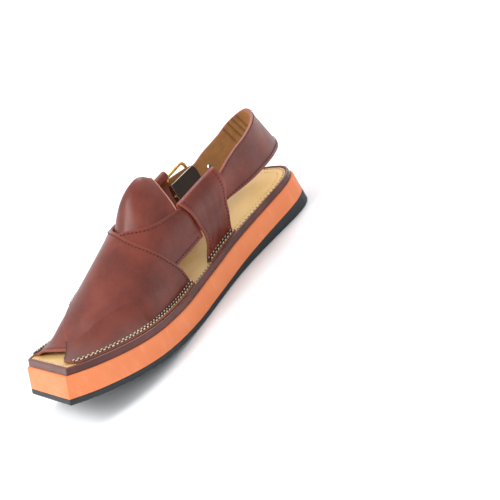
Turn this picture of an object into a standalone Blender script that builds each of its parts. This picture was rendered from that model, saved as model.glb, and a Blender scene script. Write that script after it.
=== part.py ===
"""A peshawari chappal for the right foot: crossed leather vamp, side straps, heel strap and layered sole.

Metres, Z up. The toe points to -X, the heel to +X and the inner (medial) side of the foot to -Y.
Inside the functions a point is written as s, m, z: s runs forward from the back of the sole,
m runs from the middle line towards the inner side of the foot, and z is the height over the floor.
"""

import math

import bmesh
import bpy
from mathutils import Vector

# Sole plan
SOLE_LENGTH = 0.283
BALL_WIDTH = 0.103
HEEL_WIDTH = 0.0645
HEEL_REACH = 0.045
HEEL_SQUARENESS = 3.1
TOE_INNER_SIDE = 0.0355
TOE_OUTER_SIDE = -0.031
TOE_SLANT = 0.0203

# Sole heights
TREAD_FOREPART = 0.0037
TREAD_HEEL_RISE = 0.0058
TREAD_RISE_START = 0.115
MIDSOLE_THICKNESS = 0.0146
TOE_SPRING = 0.0243
SPRING_START = 0.158
SPRING_POWER = 1.5
TOE_RAKE = 1.6
FIT_GAP = 0.0003
EDGE_ROUNDING = 0.0008

# Welt and insole
WELT_INSET = 0.0016
WELT_WIDTH = 0.0022
WELT_HEIGHT = 0.0047
WELT_ROUNDING = 0.0009
INSOLE_THICKNESS = 0.0040

# Upper
LEATHER = 0.0020
FEATHER_INSET = 0.0097
FLANGE_INSET = 0.0044
INSTEP_HEIGHT = 0.066
CROWN_SHIFT = 0.002
APEX_STATION = 0.249
INNER_PANEL_TOE = 0.0265
OUTER_PANEL_TOE = -0.0235
LAP = 0.0011
LAP_TOE_LENGTH = 0.010
LAP_BAND_START = 0.128
LAP_BAND_LENGTH = 0.020
RIDGE_SIDE = 0.4995

# Tongue
TONGUE_BACK = 0.1135
TONGUE_FRONT = 0.186
TONGUE_THICKNESS = 0.0050
TONGUE_BULGE = 0.0140
TONGUE_CLEARANCE = 0.0009
TONGUE_EAR = 0.0122

# Side straps
STRAP_LAYER = 0.0016
STRAP_SLOT = 0.0030
STRAP_TOP = 0.352
STRAP_LINING_END = 0.19
STRAP_CENTRE = 0.1000
STRAP_LENGTH = 0.043

# Heel strap
HEEL_STRAP_WIDTH = 0.033
HEEL_STRAP_THICKNESS = 0.0022
HEEL_STRAP_HEIGHT = 0.062
HEEL_STRAP_LEAN = 0.008
HEEL_STRAP_SPAN = 0.060
HEEL_STRAP_REAR = -0.004
HEEL_STRAP_TAIL = 0.105
HOLE_RADIUS = 0.0016
HOLE_STATIONS = (0.037, 0.053, 0.094)
SLOT_STRETCH = 0.0042
STRAP_END_SHARES = (0.10, -0.10, -0.30, -0.52)
STRAP_END_LOW = 0.172
STRAP_END_HIGH = 0.325
TAIL_TAPER = 0.66
TIP_ROUNDING = 0.010
TIP_SIDE = -0.0004

# Heel strap at the buckle: along, sideways and up from the rear bar, then along and sideways from the tab
REAR_BAR_PLACES = (
    (-0.006, 0.0006, -0.003),
    (0.002, 0.0, -0.001),
)
TAB_PLACES = (
    (-0.006, 0.0006),
    (0.001, 0.0),
    (0.014, -0.0006),
)

# Buckle
BUCKLE_BAR_STATION = 0.0755
BUCKLE_LENGTH = 0.023
BUCKLE_HEIGHT = 0.029
BUCKLE_CENTRE = 0.0555
BUCKLE_SIDE = -0.34466 * BALL_WIDTH
BUCKLE_LEAN = -0.0032
BUCKLE_BOW = 0.0012
BUCKLE_CORNER = 0.004
BUCKLE_CORNER_SHARE = 0.16
WIRE_RADIUS = 0.0014
PRONG_RADIUS = 0.0011
PRONG_NECK = ((-0.0075, 0.0012), (-0.0100, 0.0002))
PRONG_REACHES = (0.0065, 0.0030, -0.0015)
TAB_LAYER = 0.0012
TAB_HEIGHT = 0.018
TAB_TAIL = 0.015
PAD_HEIGHT = 0.020
PAD_THICKNESS = 0.0014
PAD_BACK = 0.050
PAD_FRONT = 0.002
PAD_SWELL = 0.0012
PAD_CLEARANCE = 0.0009

# Edges of the sole: station as a share of its length, both edges as shares of the ball width
SOLE_EDGES = (
    (0.159, 0.201, -0.425),
    (0.247, 0.209, -0.437),
    (0.318, 0.224, -0.447),
    (0.389, 0.256, -0.452),
    (0.459, 0.303, -0.457),
    (0.530, 0.355, -0.466),
    (0.601, 0.411, -0.476),
    (0.671, 0.467, -0.483),
    (0.742, 0.510, -0.483),
    (0.813, 0.517, -0.466),
    (0.883, 0.487, -0.415),
    (0.947, 0.432, -0.310),
    (1.000, 0.345, -0.170),
)

# Sections of the last: station share, how far side and shoulder lie from the edge to the crown on the
# inner and the outer half, then the rise of side, shoulder and crown as shares of the instep height
SECTIONS = (
    (0.283, -0.62, -1.30, 0.05, 0.12, 0.36, 0.71, 1.00),
    (0.424, -0.27, -0.52, 0.05, 0.20, 0.36, 0.71, 1.00),
    (0.523, -0.06, 0.02, 0.04, 0.30, 0.33, 0.70, 0.91),
    (0.587, 0.02, 0.22, 0.06, 0.37, 0.30, 0.63, 0.805),
    (0.671, 0.05, 0.35, 0.11, 0.43, 0.25, 0.50, 0.635),
    (0.749, 0.09, 0.41, 0.17, 0.48, 0.19, 0.355, 0.450),
    (0.813, 0.12, 0.45, 0.23, 0.54, 0.13, 0.230, 0.285),
    (0.848, 0.15, 0.48, 0.28, 0.58, 0.085, 0.140, 0.160),
    (0.880, 0.20, 0.53, 0.32, 0.62, 0.055, 0.078, 0.080),
    (0.925, 0.28, 0.62, 0.36, 0.66, 0.020, 0.028, 0.030),
    (1.000, 0.33, 0.66, 0.36, 0.66, 0.008, 0.006, 0.005),
)

# Edges of the inner panel, laid over: front station share and place round the section, then the rear
INNER_PANEL = (
    (0.958, 0.50, 0.516, 0.00),
    (0.950, 0.50, 0.521, 0.06),
    (0.938, 0.50, 0.534, 0.14),
    (0.910, 0.50, 0.558, 0.24),
    (0.880, 0.50, 0.578, 0.33),
    (0.841, 0.57, 0.584, 0.42),
    (0.777, 0.65, 0.572, 0.50),
    (0.693, 0.73, 0.551, 0.570),
    (0.601, 0.80, 0.526, 0.616),
    (0.530, 0.85, 0.488, 0.640),
    (0.404, 0.865, 0.404, 0.655),
)

# Edges of the outer panel, laid under, in the same columns, counted from the outer edge
OUTER_PANEL = (
    (0.894, 0.00, 0.516, 0.00),
    (0.897, 0.10, 0.521, 0.06),
    (0.899, 0.50, 0.534, 0.14),
    (0.890, 0.50, 0.558, 0.24),
    (0.880, 0.50, 0.578, 0.33),
    (0.841, 0.57, 0.584, 0.42),
    (0.777, 0.65, 0.572, 0.50),
    (0.693, 0.73, 0.551, 0.570),
    (0.601, 0.80, 0.526, 0.616),
    (0.530, 0.85, 0.488, 0.640),
    (0.404, 0.865, 0.404, 0.655),
)

# Front and rear edge of a side strap: place round the section, both as shares of the strap's length
SIDE_STRAP_EDGES = (
    (0.00, 0.44, -0.41),
    (0.06, 0.33, -0.42),
    (0.14, 0.32, -0.44),
    (0.24, 0.41, -0.47),
    (0.36, 0.51, -0.50),
)

# Tongue from its back edge to its front: place along it, bulge as a share of the full bulge, half width
# of the bulge and of the whole tongue round the section, and how sharply the bulge peaks
TONGUE_FORM = (
    (0.00, 0.42, 0.105, 0.168, 2.2),
    (0.07, 0.78, 0.122, 0.172, 2.1),
    (0.13, 0.98, 0.138, 0.175, 1.9),
    (0.20, 1.04, 0.150, 0.168, 1.6),
    (0.30, 1.00, 0.150, 0.170, 1.3),
    (0.40, 0.82, 0.138, 0.170, 1.2),
    (0.49, 0.54, 0.112, 0.165, 1.2),
    (0.57, 0.24, 0.070, 0.155, 1.2),
    (0.64, 0.00, 0.040, 0.145, 1.2),
    (0.80, 0.00, 0.040, 0.125, 1.2),
    (1.00, 0.00, 0.040, 0.090, 1.2),
)

# Heel strap from the inner side round the back to the buckle: reach forward as a share of its span,
# side as a share of the heel width, middle height as a share of its height, width as a share of its
# full width, and lean as a share of its full lean
HEEL_STRAP_ROUTE = (
    (1.00, 0.375, 1.00, 0.80, 0.00),
    (0.66, 0.320, 1.00, 0.88, 0.20),
    (0.36, 0.215, 1.00, 0.95, 0.55),
    (0.13, 0.060, 1.00, 1.00, 0.90),
    (0.00, -0.170, 1.00, 1.00, 1.00),
    (0.13, -0.360, 0.95, 0.96, 0.90),
    (0.36, -0.470, 0.90, 0.82, 0.50),
    (0.63, -0.530, 0.88, 0.70, 0.15),
)

LEATHER_BROWN = ((0.19, 0.045, 0.028, 1.0), 0.38, 0.0)
WELT_BROWN = ((0.14, 0.034, 0.026, 1.0), 0.45, 0.0)
MIDSOLE_TAN = ((0.88, 0.30, 0.115, 1.0), 0.55, 0.0)
RUBBER_BLACK = ((0.018, 0.028, 0.034, 1.0), 0.60, 0.0)
INSOLE_TAN = ((0.74, 0.50, 0.21, 1.0), 0.55, 0.0)
PAD_BROWN = ((0.020, 0.009, 0.007, 1.0), 0.60, 0.0)
BRASS = ((0.72, 0.45, 0.16, 1.0), 0.28, 1.0)

HEEL_ROWS = 8
BODY_ROWS = 22
TOE_ROWS = 5
CAP_COLUMNS = 4


def remove_objects():
    for item in list(bpy.data.objects):
        bpy.data.objects.remove(item, do_unlink=True)


def clamp(value, low=0.0, high=1.0):
    return max(low, min(high, value))


def ease(value):
    value = clamp(value)
    return value * value * (3.0 - 2.0 * value)


def mix(a, b, share):
    return a + (b - a) * share


def cubic(before, start, end, after, share, step_before=1.0, step=1.0, step_after=1.0):
    """Value between start and end on a smooth curve that also passes its two neighbours."""
    slope_in = mix((start - before) / step_before, (end - start) / step, step_before / (step_before + step))
    slope_out = mix((end - start) / step, (after - end) / step_after, step / (step + step_after))
    u = share
    return ((2 * u ** 3 - 3 * u ** 2 + 1) * start + (u ** 3 - 2 * u ** 2 + u) * step * slope_in
            + (3 * u ** 2 - 2 * u ** 3) * end + (u ** 3 - u ** 2) * step * slope_out)


def read_row(table, place):
    """All columns of a table after its first, read smoothly at a place in the first column."""
    last = len(table) - 1
    place = clamp(place, table[0][0], table[last][0])
    index = 0
    while index < last - 1 and place > table[index + 1][0]:
        index += 1
    row, following = table[index], table[index + 1]
    step = following[0] - row[0]
    share = (place - row[0]) / step
    before = table[index - 1] if index > 0 else None
    after = table[index + 2] if index + 2 <= last else None
    values = []
    for column in range(1, len(row)):
        start, end = row[column], following[column]
        value_before = before[column] if before else start - (end - start)
        value_after = after[column] if after else end + (end - start)
        step_before = row[0] - before[0] if before else step
        step_after = after[0] - following[0] if after else step
        values.append(cubic(value_before, start, end, value_after, share, step_before, step, step_after))
    return values


def read_rows_evenly(table, share):
    """All columns of a table whose rows are evenly spread, read smoothly."""
    numbered = [(index / (len(table) - 1.0),) + tuple(row) for index, row in enumerate(table)]
    return read_row(numbered, share)


def spring(s):
    """Height of the sole's underside, which lifts towards the toe."""
    share = max(0.0, (s - SPRING_START) / (SOLE_LENGTH - SPRING_START))
    return TOE_SPRING * share ** SPRING_POWER


def tread_top(s):
    rise = max(0.0, (TREAD_RISE_START - s) / TREAD_RISE_START)
    return spring(s) + TREAD_FOREPART + TREAD_HEEL_RISE * rise


def midsole_bottom(s):
    return tread_top(s) + FIT_GAP


def midsole_top(s):
    return midsole_bottom(s) + MIDSOLE_THICKNESS


def insole_bottom(s):
    return midsole_top(s) + FIT_GAP


def insole_top(s):
    return insole_bottom(s) + INSOLE_THICKNESS


def raked(s, m, z):
    """A point of the sole, slid along so that its edges stand square to the lifted toe."""
    step = 0.002
    slope = (spring(s + step) - spring(s - step)) / (2.0 * step)
    return s + TOE_RAKE * slope * (midsole_top(s) - z), m, z


def sole_edges(s):
    inner, outer = read_row(SOLE_EDGES, s / SOLE_LENGTH)
    return inner * BALL_WIDTH, outer * BALL_WIDTH


def edge_slopes(s):
    step = 0.002
    ahead, behind = sole_edges(s + step), sole_edges(s - step)
    return (ahead[0] - behind[0]) / (2 * step), (ahead[1] - behind[1]) / (2 * step)


def inner_edge(s, inset):
    return sole_edges(s)[0] - inset * math.hypot(1.0, edge_slopes(s)[0])


def outer_edge(s, inset):
    return sole_edges(s)[1] + inset * math.hypot(1.0, edge_slopes(s)[1])


def toe_slope():
    return TOE_SLANT / (TOE_INNER_SIDE - TOE_OUTER_SIDE)


def toe_station(m, inset):
    """Station of the slanting toe edge at a side place, moved inwards by an inset."""
    return SOLE_LENGTH - (TOE_INNER_SIDE - m) * toe_slope() - inset * math.hypot(1.0, toe_slope())


def toe_side(s, inset):
    return TOE_INNER_SIDE - (SOLE_LENGTH - s - inset * math.hypot(1.0, toe_slope())) / toe_slope()


def corner_station(edge, inset):
    """Station where a long edge of the outline meets the toe edge."""
    low, high = 0.75 * SOLE_LENGTH, SOLE_LENGTH
    for _ in range(40):
        middle = 0.5 * (low + high)
        if toe_station(edge(middle, inset), inset) > middle:
            low = middle
        else:
            high = middle
    return 0.5 * (low + high)


def outline_rows(inset):
    """Rows across the outline from the heel to the toe's inner corner: station, outer side, inner side."""
    rows = []
    reach = HEEL_REACH - inset
    power = 2.0 / HEEL_SQUARENESS
    inner_start, outer_start = inner_edge(HEEL_REACH, inset), outer_edge(HEEL_REACH, inset)
    middle = 0.5 * (inner_start + outer_start)
    half = 0.5 * (inner_start - outer_start)
    for index in range(HEEL_ROWS):
        angle = 0.5 * math.pi * index / HEEL_ROWS
        width = half * math.sin(angle) ** power
        rows.append((HEEL_REACH - reach * math.cos(angle) ** power, middle - width, middle + width))
    outer_corner = corner_station(outer_edge, inset)
    inner_corner = corner_station(inner_edge, inset)
    for index in range(BODY_ROWS + 1):
        s = mix(HEEL_REACH, outer_corner, index / BODY_ROWS)
        rows.append((s, outer_edge(s, inset), inner_edge(s, inset)))
    for index in range(1, TOE_ROWS + 1):
        s = mix(outer_corner, inner_corner, index / TOE_ROWS)
        rows.append((s, min(toe_side(s, inset), inner_edge(s, inset)), inner_edge(s, inset)))
    return rows


def outline_loop(inset):
    rows = outline_rows(inset)
    inner = [(row[0], row[2]) for row in rows]
    outer = [(row[0], row[1]) for row in rows[1:-1]]
    return inner + outer[::-1]


def to_frame(s, m, z):
    return Vector((-s, -m, z))


def make_material(name, look):
    colour, roughness, metallic = look
    material = bpy.data.materials.new(name)
    material.use_nodes = True
    shader = material.node_tree.nodes["Principled BSDF"]
    shader.inputs["Base Color"].default_value = colour
    shader.inputs["Roughness"].default_value = roughness
    shader.inputs["Metallic"].default_value = metallic
    return material


def make_object(name, points, faces, look, parent, sharp_angle=40.0):
    """One closed solid from points in s, m, z and faces, shaded smooth where it is round."""
    mesh = bpy.data.meshes.new(name)
    work = bmesh.new()
    vertices = [work.verts.new(to_frame(*point)) for point in points]
    for face in faces:
        corners = [vertices[index] for index in face]
        if len(set(corners)) == len(corners):
            work.faces.new(corners)
    bmesh.ops.recalc_face_normals(work, faces=work.faces)
    work.to_mesh(mesh)
    work.free()
    mesh.shade_smooth()
    mesh.set_sharp_from_angle(angle=math.radians(sharp_angle))
    mesh.materials.append(make_material(name + "_finish", look))
    item = bpy.data.objects.new(name, mesh)
    bpy.context.scene.collection.objects.link(item)
    item.parent = parent
    return item


def slab(name, look, parent, levels):
    """A layer of the sole. Levels run from bottom to top, each with an inset and a height function."""
    points, faces = [], []
    rims = []
    for inset, height in levels:
        rims.append([len(points) + index for index in range(len(outline_loop(inset)))])
        points += [raked(s, m, height(s)) for s, m in outline_loop(inset)]
    count = len(rims[0])
    for lower, upper in zip(rims, rims[1:]):
        for index in range(count):
            after = (index + 1) % count
            faces.append((lower[index], lower[after], upper[after], upper[index]))
    for rim, (inset, height) in ((rims[0], levels[0]), (rims[-1], levels[-1])):
        rows = outline_rows(inset)
        last = len(rows) - 1
        grid = [[rim[0]] * (CAP_COLUMNS + 1)]
        for number in range(1, last):
            s, outer, inner = rows[number]
            line = [rim[count - number]]
            for column in range(1, CAP_COLUMNS):
                line.append(len(points))
                points.append(raked(s, mix(outer, inner, column / CAP_COLUMNS), height(s)))
            line.append(rim[number])
            grid.append(line)
        grid.append([rim[last]] * (CAP_COLUMNS + 1))
        for line, following in zip(grid, grid[1:]):
            for column in range(CAP_COLUMNS):
                face = [line[column], line[column + 1], following[column + 1], following[column]]
                faces.append(tuple(dict.fromkeys(face)))
    return make_object(name, points, faces, look, parent)


def ring(name, look, parent, section):
    """A band round the whole sole. Each corner of its section has an inset and a height over the midsole."""
    points, faces = [], []
    loops = []
    for inset, rise in section:
        loop = outline_loop(inset)
        loops.append([len(points) + index for index in range(len(loop))])
        points += [raked(s, m, insole_bottom(s) + rise) for s, m in loop]
    count = len(loops[0])
    for number, loop in enumerate(loops):
        following = loops[(number + 1) % len(loops)]
        for index in range(count):
            after = (index + 1) % count
            faces.append((loop[index], loop[after], following[after], following[index]))
    return make_object(name, points, faces, look, parent)


def shell(name, look, parent, outside, inside, sharp_angle=40.0):
    """A sheet with thickness between two grids of points of the same size."""
    rows, columns = len(outside), len(outside[0])
    points = [point for line in outside for point in line] + [point for line in inside for point in line]
    offset = rows * columns
    faces = []
    for row in range(rows - 1):
        for column in range(columns - 1):
            start = row * columns + column
            face = (start, start + 1, start + columns + 1, start + columns)
            faces.append(face)
            faces.append(tuple(index + offset for index in face[::-1]))
    rim = [column for column in range(columns)]
    rim += [row * columns + columns - 1 for row in range(1, rows)]
    rim += [(rows - 1) * columns + column for column in range(columns - 2, -1, -1)]
    rim += [row * columns for row in range(rows - 2, 0, -1)]
    for index, corner in enumerate(rim):
        after = rim[(index + 1) % len(rim)]
        faces.append((corner, after, after + offset, corner + offset))
    return make_object(name, points, faces, look, parent, sharp_angle)


def tube(name, look, parent, route, radius, sides=8, closed=False):
    """A round bar along a route of s, m, z points, with the same thickness all along."""
    places = [Vector(point) for point in route]
    count = len(places)
    points, faces = [], []
    side = Vector((0.0, 0.0, 1.0))
    for index, place in enumerate(places):
        ahead = places[(index + 1) % count] if closed or index < count - 1 else place
        behind = places[index - 1] if closed or index > 0 else place
        direction = (ahead - behind).normalized()
        reference = Vector((0.0, 1.0, 0.0)) if closed else side
        across = direction.cross(reference).normalized()
        upward = across.cross(direction).normalized()
        for step in range(sides):
            angle = 2.0 * math.pi * (step + 0.5) / sides
            points.append(tuple(place + radius * (math.cos(angle) * across + math.sin(angle) * upward)))
    for index in range(count if closed else count - 1):
        following = (index + 1) % count
        for step in range(sides):
            after = (step + 1) % sides
            faces.append((index * sides + step, index * sides + after,
                          following * sides + after, following * sides + step))
    if not closed:
        faces.append(tuple(range(sides))[::-1])
        faces.append(tuple((count - 1) * sides + step for step in range(sides)))
    return make_object(name, points, faces, look, parent)


def crown_place(s, inner_half):
    """Side place of the ridge, which splits at the toe into the two edges of the opening."""
    end = INNER_PANEL_TOE if inner_half else OUTER_PANEL_TOE
    end_station = toe_station(end, FLANGE_INSET)
    if s <= APEX_STATION:
        return CROWN_SHIFT
    if s < end_station:
        return mix(CROWN_SHIFT, end, (s - APEX_STATION) / (end_station - APEX_STATION))
    return toe_side(s, FLANGE_INSET)


def section_points(s, inner_half):
    """Seven points round the last at a station: side place and rise over the insole."""
    values = read_row(SECTIONS, s / SOLE_LENGTH)
    inner_side, inner_shoulder, outer_side, outer_shoulder = values[:4]
    side_rise, shoulder_rise, crown_rise = (INSTEP_HEIGHT * value for value in values[4:])
    crown = crown_place(s, inner_half)
    inner_base = inner_edge(s, FEATHER_INSET)
    outer_base = max(outer_edge(s, FEATHER_INSET), toe_side(s, FLANGE_INSET))
    inner_base, outer_base = max(inner_base, crown), min(outer_base, crown)
    return [
        (inner_base, 0.0),
        (mix(inner_base, crown, inner_side), side_rise),
        (mix(inner_base, crown, inner_shoulder), shoulder_rise),
        (crown, crown_rise),
        (mix(outer_base, crown, outer_shoulder), shoulder_rise),
        (mix(outer_base, crown, outer_side), side_rise),
        (outer_base, 0.0),
    ]


def skin(s, t):
    """Point of the last, with t from 0 at the inner edge over the top to 1 at the outer edge."""
    points = section_points(s, t < 0.5)
    place = clamp(t) * (len(points) - 1)
    index = min(int(place), len(points) - 2)
    share = place - index
    start, end = points[index], points[index + 1]
    before = points[index - 1] if index > 0 else (start[0], start[1] - (end[1] - start[1]))
    after = points[index + 2] if index < len(points) - 2 else (end[0], end[1] - (start[1] - end[1]))
    m, rise = (cubic(before[axis], start[axis], end[axis], after[axis], share) for axis in (0, 1))
    foot = raked(s, m, insole_top(s))[0]
    return Vector((mix(foot, s, ease(rise / (0.3 * INSTEP_HEIGHT))), m, insole_top(s) + FIT_GAP + rise))


def skin_normal(s, t):
    """Outward direction of the last. It turns upright where the panels lie on the insole at the toe."""
    step_s, step_t = 0.001, 0.006
    side = clamp(t, step_t, 1.0 - step_t)
    if abs(side - 0.5) < step_t and s > APEX_STATION - 2.0 * step_s:
        side = 0.5 - step_t if t < 0.5 else 0.5 + step_t
    along = skin(s + step_s, side) - skin(s - step_s, side)
    around = skin(s, side + step_t) - skin(s, side - step_t)
    normal = along.cross(around)
    if normal.length < 1e-12:
        return Vector((0.0, 0.0, 1.0))
    normal.normalize()
    middle = Vector((s, CROWN_SHIFT, insole_top(s)))
    if normal.dot(skin(s, side) - middle) < 0.0:
        normal.negate()
    flat = ease((s - 0.97 * APEX_STATION) / (0.03 * APEX_STATION))
    return normal.lerp(Vector((0.0, 0.0, 1.0)), flat).normalized()


def lap_offset(s, t):
    """Height of the inner panel's underside over the last: it climbs over the outer panel."""
    climb = ease((t - 0.02) / 0.11)
    toe = 1.0 - ease((s - APEX_STATION) / LAP_TOE_LENGTH)
    band = ease((s - LAP_BAND_START) / LAP_BAND_LENGTH) if t > 0.5 else 1.0
    return LAP * climb * toe * band


def panel(name, table, parent, inner, rows=30, columns=16):
    """One crossed panel of the vamp, from its turned-out foot on the sole to the end of its band."""
    def place(t):
        return t if inner else 1.0 - t

    outside, inside = [], []
    for row in range(-1, rows + 1):
        front_share, front_t, rear_share, rear_t = read_rows_evenly(table, max(row, 0) / rows)
        top, under = [], []
        for column in range(columns + 1):
            share = column / columns
            s = SOLE_LENGTH * mix(front_share, rear_share, share)
            t = mix(front_t, rear_t, share)
            foot = insole_top(s) + FIT_GAP
            if row <= 0:
                edge = inner_edge if inner else outer_edge
                inset = FLANGE_INSET if row < 0 else FEATHER_INSET
                m = edge(s, inset)
                if not inner:
                    m = max(m, toe_side(s, FLANGE_INSET))
                outward = 0.0 if row < 0 else (LEATHER if inner else -LEATHER) * 0.8
                s = raked(s, m, insole_top(s))[0]
                under.append((s, m, foot))
                top.append((s, m + outward, foot + LEATHER))
                continue
            if inner and s > APEX_STATION:
                t = min(t, RIDGE_SIDE)
            base = skin(s, place(t))
            normal = skin_normal(s, place(t))
            offset = lap_offset(s, t) if inner else 0.0
            low = base + normal * offset
            high = base + normal * (offset + LEATHER)
            under.append(tuple(low))
            top.append((high.x, high.y, max(high.z, foot + LEATHER)))
        outside.append(top)
        inside.append(under)
    return shell(name, LEATHER_BROWN, parent, outside, inside)


def make_upper(parent):
    """Both panels as one piece of leather, joined where they cross."""
    upper = panel("upper", INNER_PANEL, parent, True)
    under_panel = panel("under_panel_cutter", OUTER_PANEL, parent, False)
    under_panel.hide_render = True
    under_panel.display_type = 'WIRE'
    join = upper.modifiers.new("join_panels", 'BOOLEAN')
    join.operation = 'UNION'
    join.object = under_panel
    join.solver = 'MANIFOLD'
    return upper


def make_tongue(parent, rows=18, columns=12):
    """The padded lobe that rises behind the crossing and tucks in under the panels."""
    outside, inside = [], []
    for row in range(rows + 1):
        share = (row / rows) ** 1.15
        bulge, bulge_width, width, peak = read_row(TONGUE_FORM, share)
        round_back = math.sqrt(clamp(share / 0.07))
        top, under = [], []
        for column in range(columns + 1):
            across = 2.0 * column / columns - 1.0
            t = 0.5 + width * across
            s = mix(TONGUE_BACK + TONGUE_EAR * abs(across) ** 1.15, TONGUE_FRONT, share)
            base = skin(s, t) - skin_normal(s, t) * TONGUE_CLEARANCE
            place = clamp(abs(t - 0.5) / bulge_width)
            lift = TONGUE_BULGE * bulge * math.cos(0.5 * math.pi * place) ** peak
            thickness = TONGUE_THICKNESS * mix(0.25, 1.0, round_back * math.sqrt(max(0.0, 1.0 - across ** 8)))
            thickness *= mix(0.45, 1.0, clamp(bulge))
            top.append(tuple(base + Vector((0.0, 0.0, lift))))
            under.append(tuple(base + Vector((0.0, 0.0, lift)) - skin_normal(s, t) * thickness))
        outside.append(top)
        inside.append(under)
    return shell("tongue", LEATHER_BROWN, parent, outside, inside, 60.0)


def make_side_strap(name, parent, inner, columns=6):
    """A strap that stands on the sole, folds over at its top and comes down again inside."""
    def place(t):
        return t if inner else 1.0 - t

    layers = []
    outer_low = STRAP_SLOT
    climb_steps = 12
    for step in range(climb_steps + 1):
        t = STRAP_TOP * step / climb_steps
        layers.append(("out", t))
    for step in range(1, 6):
        layers.append(("fold", step / 6.0))
    for step in range(5):
        layers.append(("in", mix(STRAP_TOP, STRAP_LINING_END, step / 4.0)))
    outside, inside = [], []
    for kind, value in [("foot", 0.0)] + layers:
        t = STRAP_TOP if kind == "fold" else value
        front, rear = read_row(SIDE_STRAP_EDGES, t)
        top, under = [], []
        for column in range(columns + 1):
            s = STRAP_CENTRE + STRAP_LENGTH * mix(front, rear, column / columns)
            foot = insole_top(s) + FIT_GAP
            if kind == "foot" or t == 0.0:
                edge = inner_edge if inner else outer_edge
                m = edge(s, FLANGE_INSET if kind == "foot" else FEATHER_INSET)
                outward = 0.0 if kind == "foot" else (STRAP_LAYER if inner else -STRAP_LAYER) * 0.8
                under.append((s, m, foot))
                top.append((s, m + outward, foot + STRAP_LAYER))
                continue
            base = skin(s, place(t))
            normal = skin_normal(s, place(t))
            if kind == "out":
                low = mix(0.0, outer_low, ease(t / 0.14))
                top.append(tuple(base + normal * (low + STRAP_LAYER)))
                under.append(tuple(base + normal * low))
            elif kind == "in":
                top.append(tuple(base - normal * (STRAP_LAYER + FIT_GAP)))
                under.append(tuple(base - normal * FIT_GAP))
            else:
                upward = (skin(s, place(t + 0.01)) - skin(s, place(t - 0.01))).normalized()
                radius = 0.5 * (outer_low + FIT_GAP)
                centre = base + normal * 0.5 * (outer_low - FIT_GAP)
                angle = math.pi * value
                arm = normal * math.cos(angle) + upward * math.sin(angle)
                top.append(tuple(centre + arm * (radius + STRAP_LAYER)))
                under.append(tuple(centre + arm * radius))
        outside.append(top)
        inside.append(under)
    return shell(name, LEATHER_BROWN, parent, outside, inside, 60.0)


def heel_strap_route(share_up):
    """Places of the heel strap's middle layer at a height share, from the inner side to its tail."""
    route = []
    for share in STRAP_END_SHARES:
        s = STRAP_CENTRE + STRAP_LENGTH * share
        t = mix(STRAP_END_LOW, STRAP_END_HIGH, share_up)
        route.append(skin(s, t) + skin_normal(s, t) * 0.5 * (STRAP_SLOT - FIT_GAP))
    for reach, side, height, width, lean in HEEL_STRAP_ROUTE:
        up = share_up - 0.5
        s = HEEL_STRAP_REAR + HEEL_STRAP_SPAN * reach + HEEL_STRAP_LEAN * lean * up
        z = HEEL_STRAP_HEIGHT * height + HEEL_STRAP_WIDTH * width * up
        route.append(Vector((s, HEEL_WIDTH * side, z)))
    width = HEEL_STRAP_WIDTH * TAIL_TAPER
    rise = (share_up - 0.5) * width
    clear = WIRE_RADIUS + FIT_GAP + 0.5 * HEEL_STRAP_THICKNESS
    rear_bar = BUCKLE_BAR_STATION - BUCKLE_LENGTH
    inside_bar = BUCKLE_SIDE + BUCKLE_LEAN + clear
    outside_tab = BUCKLE_SIDE - clear - TAB_LAYER - 4.0 * FIT_GAP
    for along, sideways, up in REAR_BAR_PLACES:
        route.append(Vector((rear_bar + along, inside_bar + sideways, BUCKLE_CENTRE + up + rise)))
    for along, sideways in TAB_PLACES:
        route.append(Vector((BUCKLE_BAR_STATION + along, outside_tab + sideways, BUCKLE_CENTRE + rise)))
    tip = HEEL_STRAP_TAIL - TIP_ROUNDING * abs(2.0 * share_up - 1.0) ** 2.2
    route.append(Vector((tip, outside_tab + TIP_SIDE, BUCKLE_CENTRE + rise)))
    return route


def make_heel_strap(parent, steps=64, columns=4):
    """The strap round the heel, with its punched holes."""
    lines = []
    for column in range(columns + 1):
        route = heel_strap_route(column / columns)
        rows = [tuple(point) for point in route]
        lines.append([Vector(read_rows_evenly(rows, step / steps)) for step in range(steps + 1)])
    outside, inside = [], []
    for step in range(steps + 1):
        top, under = [], []
        for column in range(columns + 1):
            line = lines[column]
            along = line[min(step + 1, steps)] - line[max(step - 1, 0)]
            up = lines[columns][step] - lines[0][step]
            normal = along.cross(up).normalized()
            top.append(tuple(line[step] + normal * 0.5 * HEEL_STRAP_THICKNESS))
            under.append(tuple(line[step] - normal * 0.5 * HEEL_STRAP_THICKNESS))
        outside.append(top)
        inside.append(under)
    strap = shell("heel_strap", LEATHER_BROWN, parent, outside, inside)
    middle = lines[columns // 2]
    for number, station in enumerate(HOLE_STATIONS):
        on_outer_side = [point for point in middle if point.y < HEEL_WIDTH * -0.3]
        nearest = min(on_outer_side, key=lambda point: abs(point.x - station))
        centre = (station, nearest.y, nearest.z)
        punch = hole_cutter("hole_cutter_%d" % number, parent, centre, HOLE_RADIUS, 0.0)
        cut(strap, punch)
    slot_station = BUCKLE_BAR_STATION - 0.55 * BUCKLE_LENGTH
    nearest = min([point for point in middle if point.y < HEEL_WIDTH * -0.3],
                  key=lambda point: abs(point.x - slot_station))
    centre = (slot_station, nearest.y, nearest.z)
    punch = hole_cutter("slot_cutter", parent, centre, HOLE_RADIUS, SLOT_STRETCH)
    cut(strap, punch)
    return strap


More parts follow.
